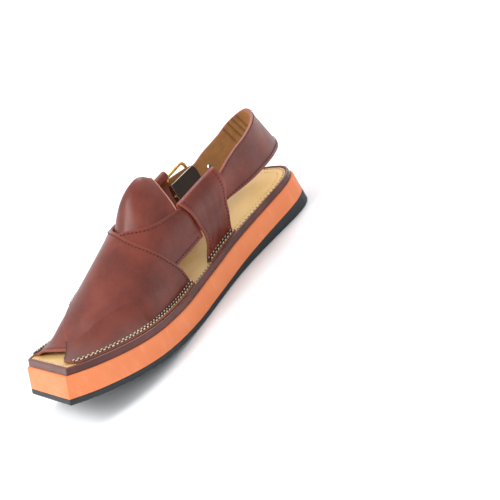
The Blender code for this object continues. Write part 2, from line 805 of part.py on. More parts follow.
def hole_cutter(name, parent, centre, radius, stretch):
    """A bar through the strap from side to side, round or stretched along the strap."""
    s, m, z = centre
    reach = 0.006
    sides = 12
    points = []
    for side in (-reach, reach):
        for step in range(sides):
            angle = 2.0 * math.pi * step / sides
            shift = stretch * (1.0 if math.cos(angle) > 0.0 else -1.0)
            points.append((s + shift + radius * math.cos(angle), m + side, z + radius * math.sin(angle)))
    faces = [tuple(range(sides)), tuple(range(2 * sides - 1, sides - 1, -1))]
    faces += [(step, (step + 1) % sides, sides + (step + 1) % sides, sides + step) for step in range(sides)]
    cutter = make_object(name, points, faces, RUBBER_BLACK, parent)
    cutter.hide_render = True
    cutter.display_type = 'WIRE'
    return cutter


def cut(item, cutter):
    modifier = item.modifiers.new("cut_" + cutter.name, 'BOOLEAN')
    modifier.operation = 'DIFFERENCE'
    modifier.object = cutter


def buckle_place(share, up):
    """Point of the buckle's frame: share from the fixed bar to the free one, up from its middle."""
    s = BUCKLE_BAR_STATION - BUCKLE_LENGTH * share
    bow = -BUCKLE_BOW * math.sin(math.pi * share)
    return Vector((s, BUCKLE_SIDE + BUCKLE_LEAN * share + bow, BUCKLE_CENTRE + up))


def make_buckle_frame(parent):
    """A rectangle of brass wire with round corners, bowed a little away from the foot."""
    half = 0.5 * BUCKLE_HEIGHT
    corner = BUCKLE_CORNER_SHARE
    high = half - BUCKLE_CORNER
    route = []
    for share_centre, up_centre, start in ((1 - corner, high, 0.0), (corner, high, 90.0),
                                           (corner, -high, 180.0), (1 - corner, -high, 270.0)):
        for step in range(5):
            angle = math.radians(start + 22.5 * step)
            up = up_centre + BUCKLE_CORNER * math.sin(angle)
            route.append(buckle_place(share_centre + corner * math.cos(angle), up))
    return tube("buckle_frame", BRASS, parent, route, WIRE_RADIUS, 8, closed=True)


def make_buckle_prong(parent):
    """The prong: a loop round the fixed bar, then a pin through the strap onto the free bar."""
    bar = buckle_place(0.0, 0.0)
    free = buckle_place(1.0, 0.0)
    outward = Vector((0.0, -1.0, 0.0))
    clear = WIRE_RADIUS + FIT_GAP + PRONG_RADIUS
    route = []
    for step in range(9):
        angle = math.radians(210.0 + 30.0 * step)
        route.append(bar + clear * Vector((math.cos(angle), math.sin(angle), 0.0)))
    for along, sideways in PRONG_NECK:
        route.append(bar + Vector((along, sideways, 0.0)))
    for along in PRONG_REACHES:
        route.append(free + Vector((along, 0.0, 0.0)) + outward * clear)
    return tube("buckle_prong", BRASS, parent, route, PRONG_RADIUS, 8)


def slot_side(s, z):
    """Middle of the outer side strap's slot at a station and a height."""
    low, high = 0.0, STRAP_TOP
    for _ in range(30):
        middle = 0.5 * (low + high)
        if skin(s, 1.0 - middle).z < z:
            low = middle
        else:
            high = middle
    return skin(s, 1.0 - low).y - 0.5 * (STRAP_SLOT - FIT_GAP)


def make_buckle_tab(parent):
    """The leather loop that holds the buckle's fixed bar and goes into the side strap."""
    bar = buckle_place(0.0, 0.0)
    outer_radius = WIRE_RADIUS + FIT_GAP + TAB_LAYER
    inner_radius = WIRE_RADIUS + FIT_GAP
    half = 0.5 * TAB_HEIGHT
    notch = PRONG_RADIUS + 3.0 * FIT_GAP
    steps = 14
    items = []
    for name, low, high in (("buckle_tab_upper", notch, half), ("buckle_tab_lower", -half, -notch)):
        outside, inside = [], []
        for step in range(steps + 1):
            angle = math.radians(mix(25.0, 335.0, step / steps))
            arm = Vector((math.cos(angle), math.sin(angle), 0.0))
            outside.append([tuple(bar + arm * outer_radius + Vector((0, 0, up))) for up in (low, high)])
            inside.append([tuple(bar + arm * inner_radius + Vector((0, 0, up))) for up in (low, high)])
        for s in (STRAP_CENTRE - 0.49 * STRAP_LENGTH, bar.x + TAB_TAIL):
            sides = [(slot_side(s, bar.z + up), bar.z + up) for up in (low, high)]
            for line, thin in ((outside, 0.7), (inside, 0.1)):
                line.insert(0, [(s, side + thin * TAB_LAYER, z) for side, z in sides])
                line.append([(s, side - thin * TAB_LAYER, z) for side, z in sides])
        items.append(shell(name, LEATHER_BROWN, parent, outside, inside, 60.0))
    return items


def make_strap_pad(parent, columns=8):
    """The dark pad between the buckle and the foot."""
    outside, inside = [], []
    for row in range(5):
        up = mix(-0.5, 0.5, row / 4.0)
        top, under = [], []
        for column in range(columns + 1):
            share = column / columns
            s = mix(PAD_BACK, BUCKLE_BAR_STATION + PAD_FRONT, share)
            strap_face = BUCKLE_SIDE + BUCKLE_LEAN + WIRE_RADIUS + 2.0 * FIT_GAP + HEEL_STRAP_THICKNESS
            tab_face = BUCKLE_SIDE + WIRE_RADIUS + TAB_LAYER + 2.0 * FIT_GAP
            m = mix(strap_face + PAD_SWELL, tab_face, ease(share)) + PAD_CLEARANCE
            z = BUCKLE_CENTRE + up * PAD_HEIGHT
            top.append((s, m, z))
            under.append((s, m + PAD_THICKNESS, z))
        outside.append(top)
        inside.append(under)
    return shell("strap_pad", PAD_BROWN, parent, outside, inside)


def make_sole(parent):
    """Black tread, tan midsole, brown welt and the insole that it frames."""
    slab("outsole", RUBBER_BLACK, parent, [
        (EDGE_ROUNDING, spring),
        (0.0, lambda s: spring(s) + EDGE_ROUNDING),
        (0.0, tread_top),
    ])
    slab("midsole", MIDSOLE_TAN, parent, [
        (0.0, midsole_bottom),
        (0.0, lambda s: midsole_top(s) - EDGE_ROUNDING),
        (EDGE_ROUNDING, midsole_top),
    ])
    outer, inner = WELT_INSET, WELT_INSET + WELT_WIDTH
    ring("welt", WELT_BROWN, parent, [
        (outer, 0.0),
        (outer, WELT_HEIGHT - WELT_ROUNDING),
        (outer + 0.3 * WELT_ROUNDING, WELT_HEIGHT - 0.4 * WELT_ROUNDING),
        (outer + WELT_ROUNDING, WELT_HEIGHT),
        (inner - WELT_ROUNDING, WELT_HEIGHT),
        (inner, WELT_HEIGHT - 0.5 * WELT_ROUNDING),
        (inner, 0.0),
    ])
    slab("insole", INSOLE_TAN, parent, [
        (inner + FIT_GAP, insole_bottom),
        (inner + FIT_GAP, insole_top),
    ])


def centre_over_floor(parent):
    """Move the shoe so that the middle of its box stands over the origin, with its tread on the floor."""
    bpy.context.view_layer.update()
    corners = [child.matrix_world @ vertex.co for child in parent.children
               if not child.hide_render for vertex in child.data.vertices]
    middle = [0.5 * (min(corner[axis] for corner in corners) + max(corner[axis] for corner in corners))
              for axis in (0, 1)]
    parent.location = (-middle[0], -middle[1], -min(corner[2] for corner in corners))


def main():
    remove_objects()
    shoe = bpy.data.objects.new("chappal_frame", None)
    bpy.context.scene.collection.objects.link(shoe)
    make_sole(shoe)
    make_upper(shoe)
    make_tongue(shoe)
    make_side_strap("side_strap_inner", shoe, True)
    make_side_strap("side_strap_outer", shoe, False)
    make_heel_strap(shoe)
    make_buckle_frame(shoe)
    make_buckle_prong(shoe)
    make_buckle_tab(shoe)
    make_strap_pad(shoe)
    centre_over_floor(shoe)


main()
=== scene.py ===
"""The looks of a peshawari chappal: crossed leather vamp, side straps, heel strap and layered sole.

The functions that give the sole and the last repeat the part's own sizes, so that each piece here
lies on the solid that it stands for. Inside them a point is s, m, z: s runs forward from the back of
the sole, m towards the inner side of the foot, and z is the height over the floor, all in metres.
"""

import math

import bmesh
import bpy
from mathutils import Matrix, Vector, noise

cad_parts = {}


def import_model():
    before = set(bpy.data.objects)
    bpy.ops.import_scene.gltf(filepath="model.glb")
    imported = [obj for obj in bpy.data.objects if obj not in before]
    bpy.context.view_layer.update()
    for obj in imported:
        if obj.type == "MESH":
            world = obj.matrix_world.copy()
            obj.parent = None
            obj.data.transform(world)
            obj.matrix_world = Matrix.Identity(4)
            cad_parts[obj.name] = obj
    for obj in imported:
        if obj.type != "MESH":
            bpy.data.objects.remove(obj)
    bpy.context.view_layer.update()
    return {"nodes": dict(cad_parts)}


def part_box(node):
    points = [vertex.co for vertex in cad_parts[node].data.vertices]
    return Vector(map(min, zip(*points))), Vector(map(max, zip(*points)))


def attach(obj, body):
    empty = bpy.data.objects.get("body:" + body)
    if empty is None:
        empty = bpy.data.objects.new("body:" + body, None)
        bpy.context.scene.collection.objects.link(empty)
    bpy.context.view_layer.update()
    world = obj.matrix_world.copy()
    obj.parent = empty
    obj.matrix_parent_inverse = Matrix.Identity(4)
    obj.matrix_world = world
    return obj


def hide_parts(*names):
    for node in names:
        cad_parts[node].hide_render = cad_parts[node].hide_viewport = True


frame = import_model()

# Sole plan
SOLE_LENGTH = 0.283
BALL_WIDTH = 0.103
HEEL_WIDTH = 0.0645
HEEL_REACH = 0.045
HEEL_SQUARENESS = 3.1
TOE_INNER_SIDE = 0.0355
TOE_OUTER_SIDE = -0.031
TOE_SLANT = 0.0203

# Sole heights
TREAD_FOREPART = 0.0037
TREAD_HEEL_RISE = 0.0058
TREAD_RISE_START = 0.115
MIDSOLE_THICKNESS = 0.0146
TOE_SPRING = 0.0243
SPRING_START = 0.158
SPRING_POWER = 1.5
TOE_RAKE = 1.6
FIT_GAP = 0.0003

# Welt and insole
WELT_INSET = 0.0016
WELT_WIDTH = 0.0022
INSOLE_THICKNESS = 0.0040

# Upper
LEATHER = 0.0020
FEATHER_INSET = 0.0097
FLANGE_INSET = 0.0044
INSTEP_HEIGHT = 0.066
CROWN_SHIFT = 0.002
APEX_STATION = 0.249
INNER_PANEL_TOE = 0.0265
OUTER_PANEL_TOE = -0.0235
LAP = 0.0011
LAP_TOE_LENGTH = 0.010
LAP_BAND_START = 0.128
LAP_BAND_LENGTH = 0.020
RIDGE_SIDE = 0.4995

# Tongue
TONGUE_BACK = 0.1135
TONGUE_FRONT = 0.186
TONGUE_THICKNESS = 0.0050
TONGUE_BULGE = 0.0140
TONGUE_CLEARANCE = 0.0009
TONGUE_EAR = 0.0122

# Side straps
STRAP_LAYER = 0.0016
STRAP_SLOT = 0.0030
STRAP_TOP = 0.352
STRAP_LINING_END = 0.19
STRAP_CENTRE = 0.1000
STRAP_LENGTH = 0.043

# Heel strap
HEEL_STRAP_WIDTH = 0.033
HEEL_STRAP_THICKNESS = 0.0022
HEEL_STRAP_HEIGHT = 0.062
HEEL_STRAP_LEAN = 0.008
HEEL_STRAP_SPAN = 0.060
HEEL_STRAP_REAR = -0.004
HEEL_STRAP_TAIL = 0.105
HOLE_RADIUS = 0.0016
HOLE_STATIONS = (0.037, 0.053, 0.094)
SLOT_STRETCH = 0.0042
STRAP_END_SHARES = (0.10, -0.10, -0.30, -0.52)
STRAP_END_LOW = 0.172
STRAP_END_HIGH = 0.325
TAIL_TAPER = 0.66
TIP_ROUNDING = 0.010
TIP_SIDE = -0.0004

# Heel strap at the buckle: along, sideways and up from the rear bar, then along and sideways from the tab
REAR_BAR_PLACES = (
    (-0.006, 0.0006, -0.003),
    (0.002, 0.0, -0.001),
)
TAB_PLACES = (
    (-0.006, 0.0006),
    (0.001, 0.0),
    (0.014, -0.0006),
)

# Buckle
BUCKLE_BAR_STATION = 0.0755
BUCKLE_LENGTH = 0.023
BUCKLE_HEIGHT = 0.029
BUCKLE_CENTRE = 0.0555
BUCKLE_SIDE = -0.34466 * BALL_WIDTH
BUCKLE_LEAN = -0.0032
BUCKLE_BOW = 0.0012
BUCKLE_CORNER = 0.004
BUCKLE_CORNER_SHARE = 0.16
WIRE_RADIUS = 0.0014
PRONG_RADIUS = 0.0011
PRONG_NECK = ((-0.0075, 0.0012), (-0.0100, 0.0002))
PRONG_REACHES = (0.0065, 0.0030, -0.0015)
TAB_LAYER = 0.0012
TAB_HEIGHT = 0.018
TAB_TAIL = 0.015
PAD_HEIGHT = 0.020
PAD_THICKNESS = 0.0014
PAD_BACK = 0.050
PAD_FRONT = 0.002
PAD_SWELL = 0.0012
PAD_CLEARANCE = 0.0009

# Edges of the sole: station as a share of its length, both edges as shares of the ball width
SOLE_EDGES = (
    (0.159, 0.201, -0.425),
    (0.247, 0.209, -0.437),
    (0.318, 0.224, -0.447),
    (0.389, 0.256, -0.452),
    (0.459, 0.303, -0.457),
    (0.530, 0.355, -0.466),
    (0.601, 0.411, -0.476),
    (0.671, 0.467, -0.483),
    (0.742, 0.510, -0.483),
    (0.813, 0.517, -0.466),
    (0.883, 0.487, -0.415),
    (0.947, 0.432, -0.310),
    (1.000, 0.345, -0.170),
)

# Sections of the last: station share, how far side and shoulder lie from the edge to the crown on the
# inner and the outer half, then the rise of side, shoulder and crown as shares of the instep height
SECTIONS = (
    (0.283, -0.62, -1.30, 0.05, 0.12, 0.36, 0.71, 1.00),
    (0.424, -0.27, -0.52, 0.05, 0.20, 0.36, 0.71, 1.00),
    (0.523, -0.06, 0.02, 0.04, 0.30, 0.33, 0.70, 0.91),
    (0.587, 0.02, 0.22, 0.06, 0.37, 0.30, 0.63, 0.805),
    (0.671, 0.05, 0.35, 0.11, 0.43, 0.25, 0.50, 0.635),
    (0.749, 0.09, 0.41, 0.17, 0.48, 0.19, 0.355, 0.450),
    (0.813, 0.12, 0.45, 0.23, 0.54, 0.13, 0.230, 0.285),
    (0.848, 0.15, 0.48, 0.28, 0.58, 0.085, 0.140, 0.160),
    (0.880, 0.20, 0.53, 0.32, 0.62, 0.055, 0.078, 0.080),
    (0.925, 0.28, 0.62, 0.36, 0.66, 0.020, 0.028, 0.030),
    (1.000, 0.33, 0.66, 0.36, 0.66, 0.008, 0.006, 0.005),
)

# Edges of the inner panel, laid over: front station share and place round the section, then the rear
INNER_PANEL = (
    (0.958, 0.50, 0.516, 0.00),
    (0.950, 0.50, 0.521, 0.06),
    (0.938, 0.50, 0.534, 0.14),
    (0.910, 0.50, 0.558, 0.24),
    (0.880, 0.50, 0.578, 0.33),
    (0.841, 0.57, 0.584, 0.42),
    (0.777, 0.65, 0.572, 0.50),
    (0.693, 0.73, 0.551, 0.570),
    (0.601, 0.80, 0.526, 0.616),
    (0.530, 0.85, 0.488, 0.640),
    (0.404, 0.865, 0.404, 0.655),
)

# Edges of the outer panel, laid under, in the same columns, counted from the outer edge
OUTER_PANEL = (
    (0.894, 0.00, 0.516, 0.00),
    (0.897, 0.10, 0.521, 0.06),
    (0.899, 0.50, 0.534, 0.14),
    (0.890, 0.50, 0.558, 0.24),
) + INNER_PANEL[4:]

# Front and rear edge of a side strap: place round the section, both as shares of the strap's length
SIDE_STRAP_EDGES = (
    (0.00, 0.44, -0.41),
    (0.06, 0.33, -0.42),
    (0.14, 0.32, -0.44),
    (0.24, 0.41, -0.47),
    (0.36, 0.51, -0.50),
)

# Tongue from its back edge to its front: place along it, bulge as a share of the full bulge, half width
# of the bulge and of the whole tongue round the section, and how sharply the bulge peaks
TONGUE_FORM = (
    (0.00, 0.42, 0.105, 0.168, 2.2),
    (0.07, 0.78, 0.122, 0.172, 2.1),
    (0.13, 0.98, 0.138, 0.175, 1.9),
    (0.20, 1.04, 0.150, 0.168, 1.6),
    (0.30, 1.00, 0.150, 0.170, 1.3),
    (0.40, 0.82, 0.138, 0.170, 1.2),
    (0.49, 0.54, 0.112, 0.165, 1.2),
    (0.57, 0.24, 0.070, 0.155, 1.2),
    (0.64, 0.00, 0.040, 0.145, 1.2),
    (0.80, 0.00, 0.040, 0.125, 1.2),
    (1.00, 0.00, 0.040, 0.090, 1.2),
)

# Heel strap from the inner side round the back to the buckle: reach forward as a share of its span,
# side as a share of the heel width, middle height as a share of its height, width as a share of its
# full width, and lean as a share of its full lean
HEEL_STRAP_ROUTE = (
    (1.00, 0.375, 1.00, 0.80, 0.00),
    (0.66, 0.320, 1.00, 0.88, 0.20),
    (0.36, 0.215, 1.00, 0.95, 0.55),
    (0.13, 0.060, 1.00, 1.00, 0.90),
    (0.00, -0.170, 1.00, 1.00, 1.00),
    (0.13, -0.360, 0.95, 0.96, 0.90),
    (0.36, -0.470, 0.90, 0.82, 0.50),
    (0.63, -0.530, 0.88, 0.70, 0.15),
)

HEEL_ROWS = 24
BODY_ROWS = 90
TOE_ROWS = 8

# Fineness of the vamp's panels, and the look of cut edges, seams and cord
VAMP_ROWS = 104
VAMP_COLUMNS = 48
EDGE_BULGE = 0.14
SEAM_INSET = 0.0026
SEAM_LIFT = 0.00030
CORD_INSET = 0.0061
CORD_RADIUS = 0.00044
CORD_TWIST = 0.00036
CORD_LIFT = 0.0001
INNER_ROW_LIFT = 0.0007
CORD_PITCH = 0.0066
CORD_STITCH_GAP = 0.0014
FOOT_STITCH_WIDTH = 0.00105
TONGUE_BEAD = 0.00070
INSOLE_HOLE_RADIUS = 0.00075
INSOLE_SEAM_INSET = 0.0054
TREAD_BARS_SCALE = 55.0

# Creases of the side straps: place along, width, depth and slant up the strap
STRAP_CREASES_INNER = (
    (0.30, 0.060, 0.00028, 0.50),
    (0.55, 0.075, 0.00034, 0.15),
    (0.76, 0.065, 0.00030, -0.35),
)
STRAP_CREASES_OUTER = (
    (0.36, 0.065, 0.00028, -0.30),
    (0.66, 0.075, 0.00034, 0.25),
)

# Creases of the heel strap's lining: place along the strap, width and how high up they start
LINING_CREASES = (
    (0.492, 0.0028, 0.20),
    (0.508, 0.0032, 0.10),
    (0.526, 0.0030, 0.05),
    (0.548, 0.0026, 0.30),
)
LINING_CREASE_DEPTH = 0.0007

LEATHER_COAT = 0.08
LEATHER_SPECULAR = 0.32
LEATHER_LIGHT = (0.170, 0.031, 0.017)
LEATHER_DARK = (0.095, 0.016, 0.010)
# Colours of the cut edges: partly the edge's own paler leather, partly a painted highlight on its rounded
# rim.
CUT_EDGE_AND_HIGHLIGHT = (0.23, 0.068, 0.046)
# Colours of the tongue's rear-edge bead: mostly a painted highlight on the rounded edge, partly its paler cut
# edge.
TONGUE_EDGE_HIGHLIGHT = (0.50, 0.21, 0.15)
TONGUE_EDGE_HIGHLIGHT_DARK = (0.34, 0.13, 0.09)
# Darker tone of the cut edge, which is also partly a painted highlight.
CUT_EDGE_AND_HIGHLIGHT_DARK = (0.12, 0.033, 0.022)
PALE_EDGE = (0.62, 0.50, 0.42)
PALE_EDGE_DARK = (0.42, 0.32, 0.25)
LINING_TAN = (0.470, 0.240, 0.078)
LINING_DEEP = (0.31, 0.145, 0.046)
PAD_BROWN = (0.021, 0.0097, 0.007)
PAD_DARK = (0.010, 0.005, 0.004)
MIDSOLE_TAN = (0.74, 0.215, 0.074)
MIDSOLE_DEEP = (0.70, 0.185, 0.058)
MIDSOLE_PALE = (0.86, 0.330, 0.150)
RUBBER_BLACK = (0.008, 0.013, 0.016)
RUBBER_GREY = (0.022, 0.030, 0.035)
WELT_BROWN = (0.105, 0.024, 0.019)
WELT_DARK = (0.055, 0.013, 0.011)
# Paler colour of the welt's upward-facing top: painted light.
WELT_TOP_LIT = (0.15, 0.042, 0.032)
INSOLE_TAN = (0.74, 0.50, 0.21)
INSOLE_DEEP = (0.60, 0.37, 0.13)
INSOLE_FLECK = (0.45, 0.27, 0.09)
THREAD_CREAM = (0.88, 0.76, 0.52)
THREAD_CREAM_SHADE = (0.48, 0.35, 0.19)
THREAD_TAN = (0.66, 0.50, 0.24)
THREAD_TAN_SHADE = (0.36, 0.24, 0.10)
THREAD_RED = (0.055, 0.009, 0.008)
THREAD_RED_SHADE = (0.022, 0.004, 0.004)
CORD_BLACK = (0.012, 0.012, 0.014)
CORD_GREY = (0.045, 0.045, 0.050)
# Colour of the awl holes: painted shade, as these holes are only discs on the surface.
HOLE_SHADE = (0.006, 0.004, 0.003)
BRASS = (0.72, 0.45, 0.16)
BRASS_DARK = (0.32, 0.17, 0.05)
FLOOR_WHITE = (0.92, 0.93, 0.94)

# Stitches: pitch, length and width, then where rows of stitches and of awl holes start
LONG_STITCH = (0.0030, 0.0021, 0.0008)
SHORT_STITCH = (0.0026, 0.0016, 0.0006)
STITCH_LIFT = 0.0001
FIRST_STITCH = 0.001
HOLE_PITCH = 0.0036
FIRST_HOLE = 0.0028
FRONT_SEAM_INSET = 0.0018

# Pitch of the tucks over the foot seam, share of the apex station where the vamp turns flat, and how
# far the leather swells over its foot as a share of its thickness
TUCK_PITCH = 0.011
FLAT_START = 0.97
FOOT_BULGE = 0.8

# Widths over which the edges of panels, straps and thin sheets turn pale, partly wear and partly a painted
# highlight, and the panels' own size
PANEL_RIM, STRAP_RIM, THIN_RIM = 0.0022, 0.0020, 0.0016
PANEL_WIDTH, PANEL_HEIGHT = 0.10, 0.12

# Second seam at the heel: how far inside the first, and where it starts. Then the toe seam's distance
# from the welt, the start of the vamp's inner seam from the toe's corner, and a seam's gap at its ends
SECOND_SEAM_INSET = 0.0042
SECOND_SEAM_STATION = 0.085
TOE_SEAM_INSET = 0.0014
TOE_SEAM_START = 0.012
RUN_END_GAP = 0.001

# Where the side strap's seams run, and half the length of the bars that punch the holes
STRAP_SEAMS = (("front", 0.075), ("rear", 0.935))
STRAP_SEAM_START = 0.045
BAR_REACH = 0.006

# Ends of the foot seams: the vamp's rear corner, and the front and rear of the side straps' feet
VAMP_REAR = SOLE_LENGTH * INNER_PANEL[0][2]
STRAP_FRONT, STRAP_REAR = (STRAP_CENTRE + STRAP_LENGTH * share for share in SIDE_STRAP_EDGES[0][1:])

UP = Vector((0.0, 0.0, 1.0))

KEY_POWER = 30.0
LEFT_POWER = 7.0
REAR_POWER = 12.0
FRONT_POWER = 6.0
SURROUND = 0.85

# Camera: its lens, where it stands in the sole's s, m, z turned to the world, and the right, down and
# forward of its picture
CAMERA_LENS = 251.1
CAMERA_PLACE = (-1.47596, -1.94635, 0.90559)
CAMERA_AXES = (
    (0.59890, -0.65105, -0.46631),
    (-0.58348, 0.04409, -0.81093),
    (0.54852, 0.75775, -0.35347),
)


def clamp(value, low=0.0, high=1.0):
    return max(low, min(high, value))


def ease(value):
    value = clamp(value)
    return value * value * (3.0 - 2.0 * value)


def mix(a, b, share):
    return a + (b - a) * share


def cubic(before, start, end, after, share, step_before=1.0, step=1.0, step_after=1.0):
    """Value between start and end on a smooth curve that also passes its two neighbours."""
    slope_in = mix((start - before) / step_before, (end - start) / step, step_before / (step_before + step))
    slope_out = mix((end - start) / step, (after - end) / step_after, step / (step + step_after))
    u = share
    return ((2 * u ** 3 - 3 * u ** 2 + 1) * start + (u ** 3 - 2 * u ** 2 + u) * step * slope_in
            + (3 * u ** 2 - 2 * u ** 3) * end + (u ** 3 - u ** 2) * step * slope_out)


def table_row(table, place):
    """All columns of a table after its first, read smoothly at a place in the first column."""
    last = len(table) - 1
    place = clamp(place, table[0][0], table[last][0])
    index = 0
    while index < last - 1 and place > table[index + 1][0]:
        index += 1
    row, following = table[index], table[index + 1]
    step = following[0] - row[0]
    share = (place - row[0]) / step
    before = table[index - 1] if index > 0 else None
    after = table[index + 2] if index + 2 <= last else None
    values = []
    for column in range(1, len(row)):
        start, end = row[column], following[column]
        value_before = before[column] if before else start - (end - start)
        value_after = after[column] if after else end + (end - start)
        step_before = row[0] - before[0] if before else step
        step_after = after[0] - following[0] if after else step
        values.append(cubic(value_before, start, end, value_after, share, step_before, step, step_after))
    return values


def table_rows_evenly(table, share):
    """All columns of a table whose rows are evenly spread, read smoothly."""
    numbered = [(index / (len(table) - 1.0),) + tuple(row) for index, row in enumerate(table)]
    return table_row(numbered, share)


def spring(s):
    """Height of the sole's underside, which lifts towards the toe."""
    share = max(0.0, (s - SPRING_START) / (SOLE_LENGTH - SPRING_START))
    return TOE_SPRING * share ** SPRING_POWER


def midsole_top(s):
    rise = max(0.0, (TREAD_RISE_START - s) / TREAD_RISE_START)
    return spring(s) + TREAD_FOREPART + TREAD_HEEL_RISE * rise + FIT_GAP + MIDSOLE_THICKNESS


def insole_top(s):
    return midsole_top(s) + FIT_GAP + INSOLE_THICKNESS


def raked(s, m, z):
    """A point of the sole, slid along so that its edges stand square to the lifted toe."""
    step = 0.002
    slope = (spring(s + step) - spring(s - step)) / (2.0 * step)
    return s + TOE_RAKE * slope * (midsole_top(s) - z), m, z


def sole_edges(s):
    inner, outer = table_row(SOLE_EDGES, s / SOLE_LENGTH)
    return inner * BALL_WIDTH, outer * BALL_WIDTH


def edge_slopes(s):
    step = 0.002
    ahead, behind = sole_edges(s + step), sole_edges(s - step)
    return (ahead[0] - behind[0]) / (2 * step), (ahead[1] - behind[1]) / (2 * step)


def inner_edge(s, inset):
    return sole_edges(s)[0] - inset * math.hypot(1.0, edge_slopes(s)[0])


def outer_edge(s, inset):
    return sole_edges(s)[1] + inset * math.hypot(1.0, edge_slopes(s)[1])


def toe_slope():
    return TOE_SLANT / (TOE_INNER_SIDE - TOE_OUTER_SIDE)


def toe_station(m, inset):
    """Station of the slanting toe edge at a side place, moved inwards by an inset."""
    return SOLE_LENGTH - (TOE_INNER_SIDE - m) * toe_slope() - inset * math.hypot(1.0, toe_slope())


def toe_side(s, inset):
    return TOE_INNER_SIDE - (SOLE_LENGTH - s - inset * math.hypot(1.0, toe_slope())) / toe_slope()


def corner_station(edge, inset):
    """Station where a long edge of the outline meets the toe edge."""
    low, high = 0.75 * SOLE_LENGTH, SOLE_LENGTH
    for _ in range(40):
        middle = 0.5 * (low + high)
        if toe_station(edge(middle, inset), inset) > middle:
            low = middle
        else:
            high = middle
    return 0.5 * (low + high)


def outline_rows(inset):
    """Rows across the outline from the heel to the toe's inner corner: station, outer side, inner side."""
    rows = []
    reach = HEEL_REACH - inset
    power = 2.0 / HEEL_SQUARENESS
    inner_start, outer_start = inner_edge(HEEL_REACH, inset), outer_edge(HEEL_REACH, inset)
    middle = 0.5 * (inner_start + outer_start)
    half = 0.5 * (inner_start - outer_start)
    for index in range(HEEL_ROWS):
        angle = 0.5 * math.pi * index / HEEL_ROWS
        width = half * math.sin(angle) ** power
        rows.append((HEEL_REACH - reach * math.cos(angle) ** power, middle - width, middle + width))
    outer_corner = corner_station(outer_edge, inset)
    inner_corner = corner_station(inner_edge, inset)
    for index in range(BODY_ROWS + 1):
        s = mix(HEEL_REACH, outer_corner, index / BODY_ROWS)
        rows.append((s, outer_edge(s, inset), inner_edge(s, inset)))
    for index in range(1, TOE_ROWS + 1):
        s = mix(outer_corner, inner_corner, index / TOE_ROWS)
        rows.append((s, min(toe_side(s, inset), inner_edge(s, inset)), inner_edge(s, inset)))
    return rows


def crown_place(s, inner_half):
    """Side place of the ridge, which splits at the toe into the two edges of the opening."""
    end = INNER_PANEL_TOE if inner_half else OUTER_PANEL_TOE
    end_station = toe_station(end, FLANGE_INSET)
    if s <= APEX_STATION:
        return CROWN_SHIFT
    if s < end_station:
        return mix(CROWN_SHIFT, end, (s - APEX_STATION) / (end_station - APEX_STATION))
    return toe_side(s, FLANGE_INSET)


def section_points(s, inner_half):
    """Seven points round the last at a station: side place and rise over the insole."""
    values = table_row(SECTIONS, s / SOLE_LENGTH)
    inner_side, inner_shoulder, outer_side, outer_shoulder = values[:4]
    side_rise, shoulder_rise, crown_rise = (INSTEP_HEIGHT * value for value in values[4:])
    crown = crown_place(s, inner_half)
    inner_base = inner_edge(s, FEATHER_INSET)
    outer_base = max(outer_edge(s, FEATHER_INSET), toe_side(s, FLANGE_INSET))
    inner_base, outer_base = max(inner_base, crown), min(outer_base, crown)
    return [
        (inner_base, 0.0),
        (mix(inner_base, crown, inner_side), side_rise),
        (mix(inner_base, crown, inner_shoulder), shoulder_rise),
        (crown, crown_rise),
        (mix(outer_base, crown, outer_shoulder), shoulder_rise),
        (mix(outer_base, crown, outer_side), side_rise),
        (outer_base, 0.0),
    ]


def skin(s, t):
    """Point of the last, with t from 0 at the inner edge over the top to 1 at the outer edge."""
    points = section_points(s, t < 0.5)
    place = clamp(t) * (len(points) - 1)
    index = min(int(place), len(points) - 2)
    share = place - index
    start, end = points[index], points[index + 1]
    before = points[index - 1] if index > 0 else (start[0], start[1] - (end[1] - start[1]))
    after = points[index + 2] if index < len(points) - 2 else (end[0], end[1] - (start[1] - end[1]))
    m, rise = (cubic(before[axis], start[axis], end[axis], after[axis], share) for axis in (0, 1))
    foot = raked(s, m, insole_top(s))[0]
    return Vector((mix(foot, s, ease(rise / (0.3 * INSTEP_HEIGHT))), m, insole_top(s) + FIT_GAP + rise))


def skin_normal(s, t):
    """Outward direction of the last. It turns upright where the panels lie on the insole at the toe."""
    step_s, step_t = 0.001, 0.006
    side = clamp(t, step_t, 1.0 - step_t)
    if abs(side - 0.5) < step_t and s > APEX_STATION - 2.0 * step_s:
        side = 0.5 - step_t if t < 0.5 else 0.5 + step_t
    along = skin(s + step_s, side) - skin(s - step_s, side)
    around = skin(s, side + step_t) - skin(s, side - step_t)
    normal = along.cross(around)
    if normal.length < 1e-12:
        return Vector((0.0, 0.0, 1.0))
    normal.normalize()
    middle = Vector((s, CROWN_SHIFT, insole_top(s)))
    if normal.dot(skin(s, side) - middle) < 0.0:
        normal.negate()
    flat = ease((s - 0.97 * APEX_STATION) / (0.03 * APEX_STATION))
    return normal.lerp(Vector((0.0, 0.0, 1.0)), flat).normalized()


def lap_offset(s, t):
    """Height of the inner panel's underside over the last: it climbs over the outer panel."""
    climb = ease((t - 0.02) / 0.11)
    toe = 1.0 - ease((s - APEX_STATION) / LAP_TOE_LENGTH)
    band = ease((s - LAP_BAND_START) / LAP_BAND_LENGTH) if t > 0.5 else 1.0
    return LAP * climb * toe * band


HEEL_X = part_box("outsole")[1][0]
MIDDLE_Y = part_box("outsole")[1][1] + min(row[1] for row in outline_rows(0.0))


def noise_at(point, scale, seed=0.0):
    return noise.noise(Vector(point) * scale + Vector((seed, 0.7 * seed, -0.4 * seed)))


def shares_with_edges(count, edge=0.008):
    """Shares from 0 to 1, with close ones beside both ends, so that the ends stay crisp."""
    middle = [mix(2.5 * edge, 1.0 - 2.5 * edge, index / (count - 1.0)) for index in range(count)]
    return [0.0, edge] + middle + [1.0 - edge, 1.0]


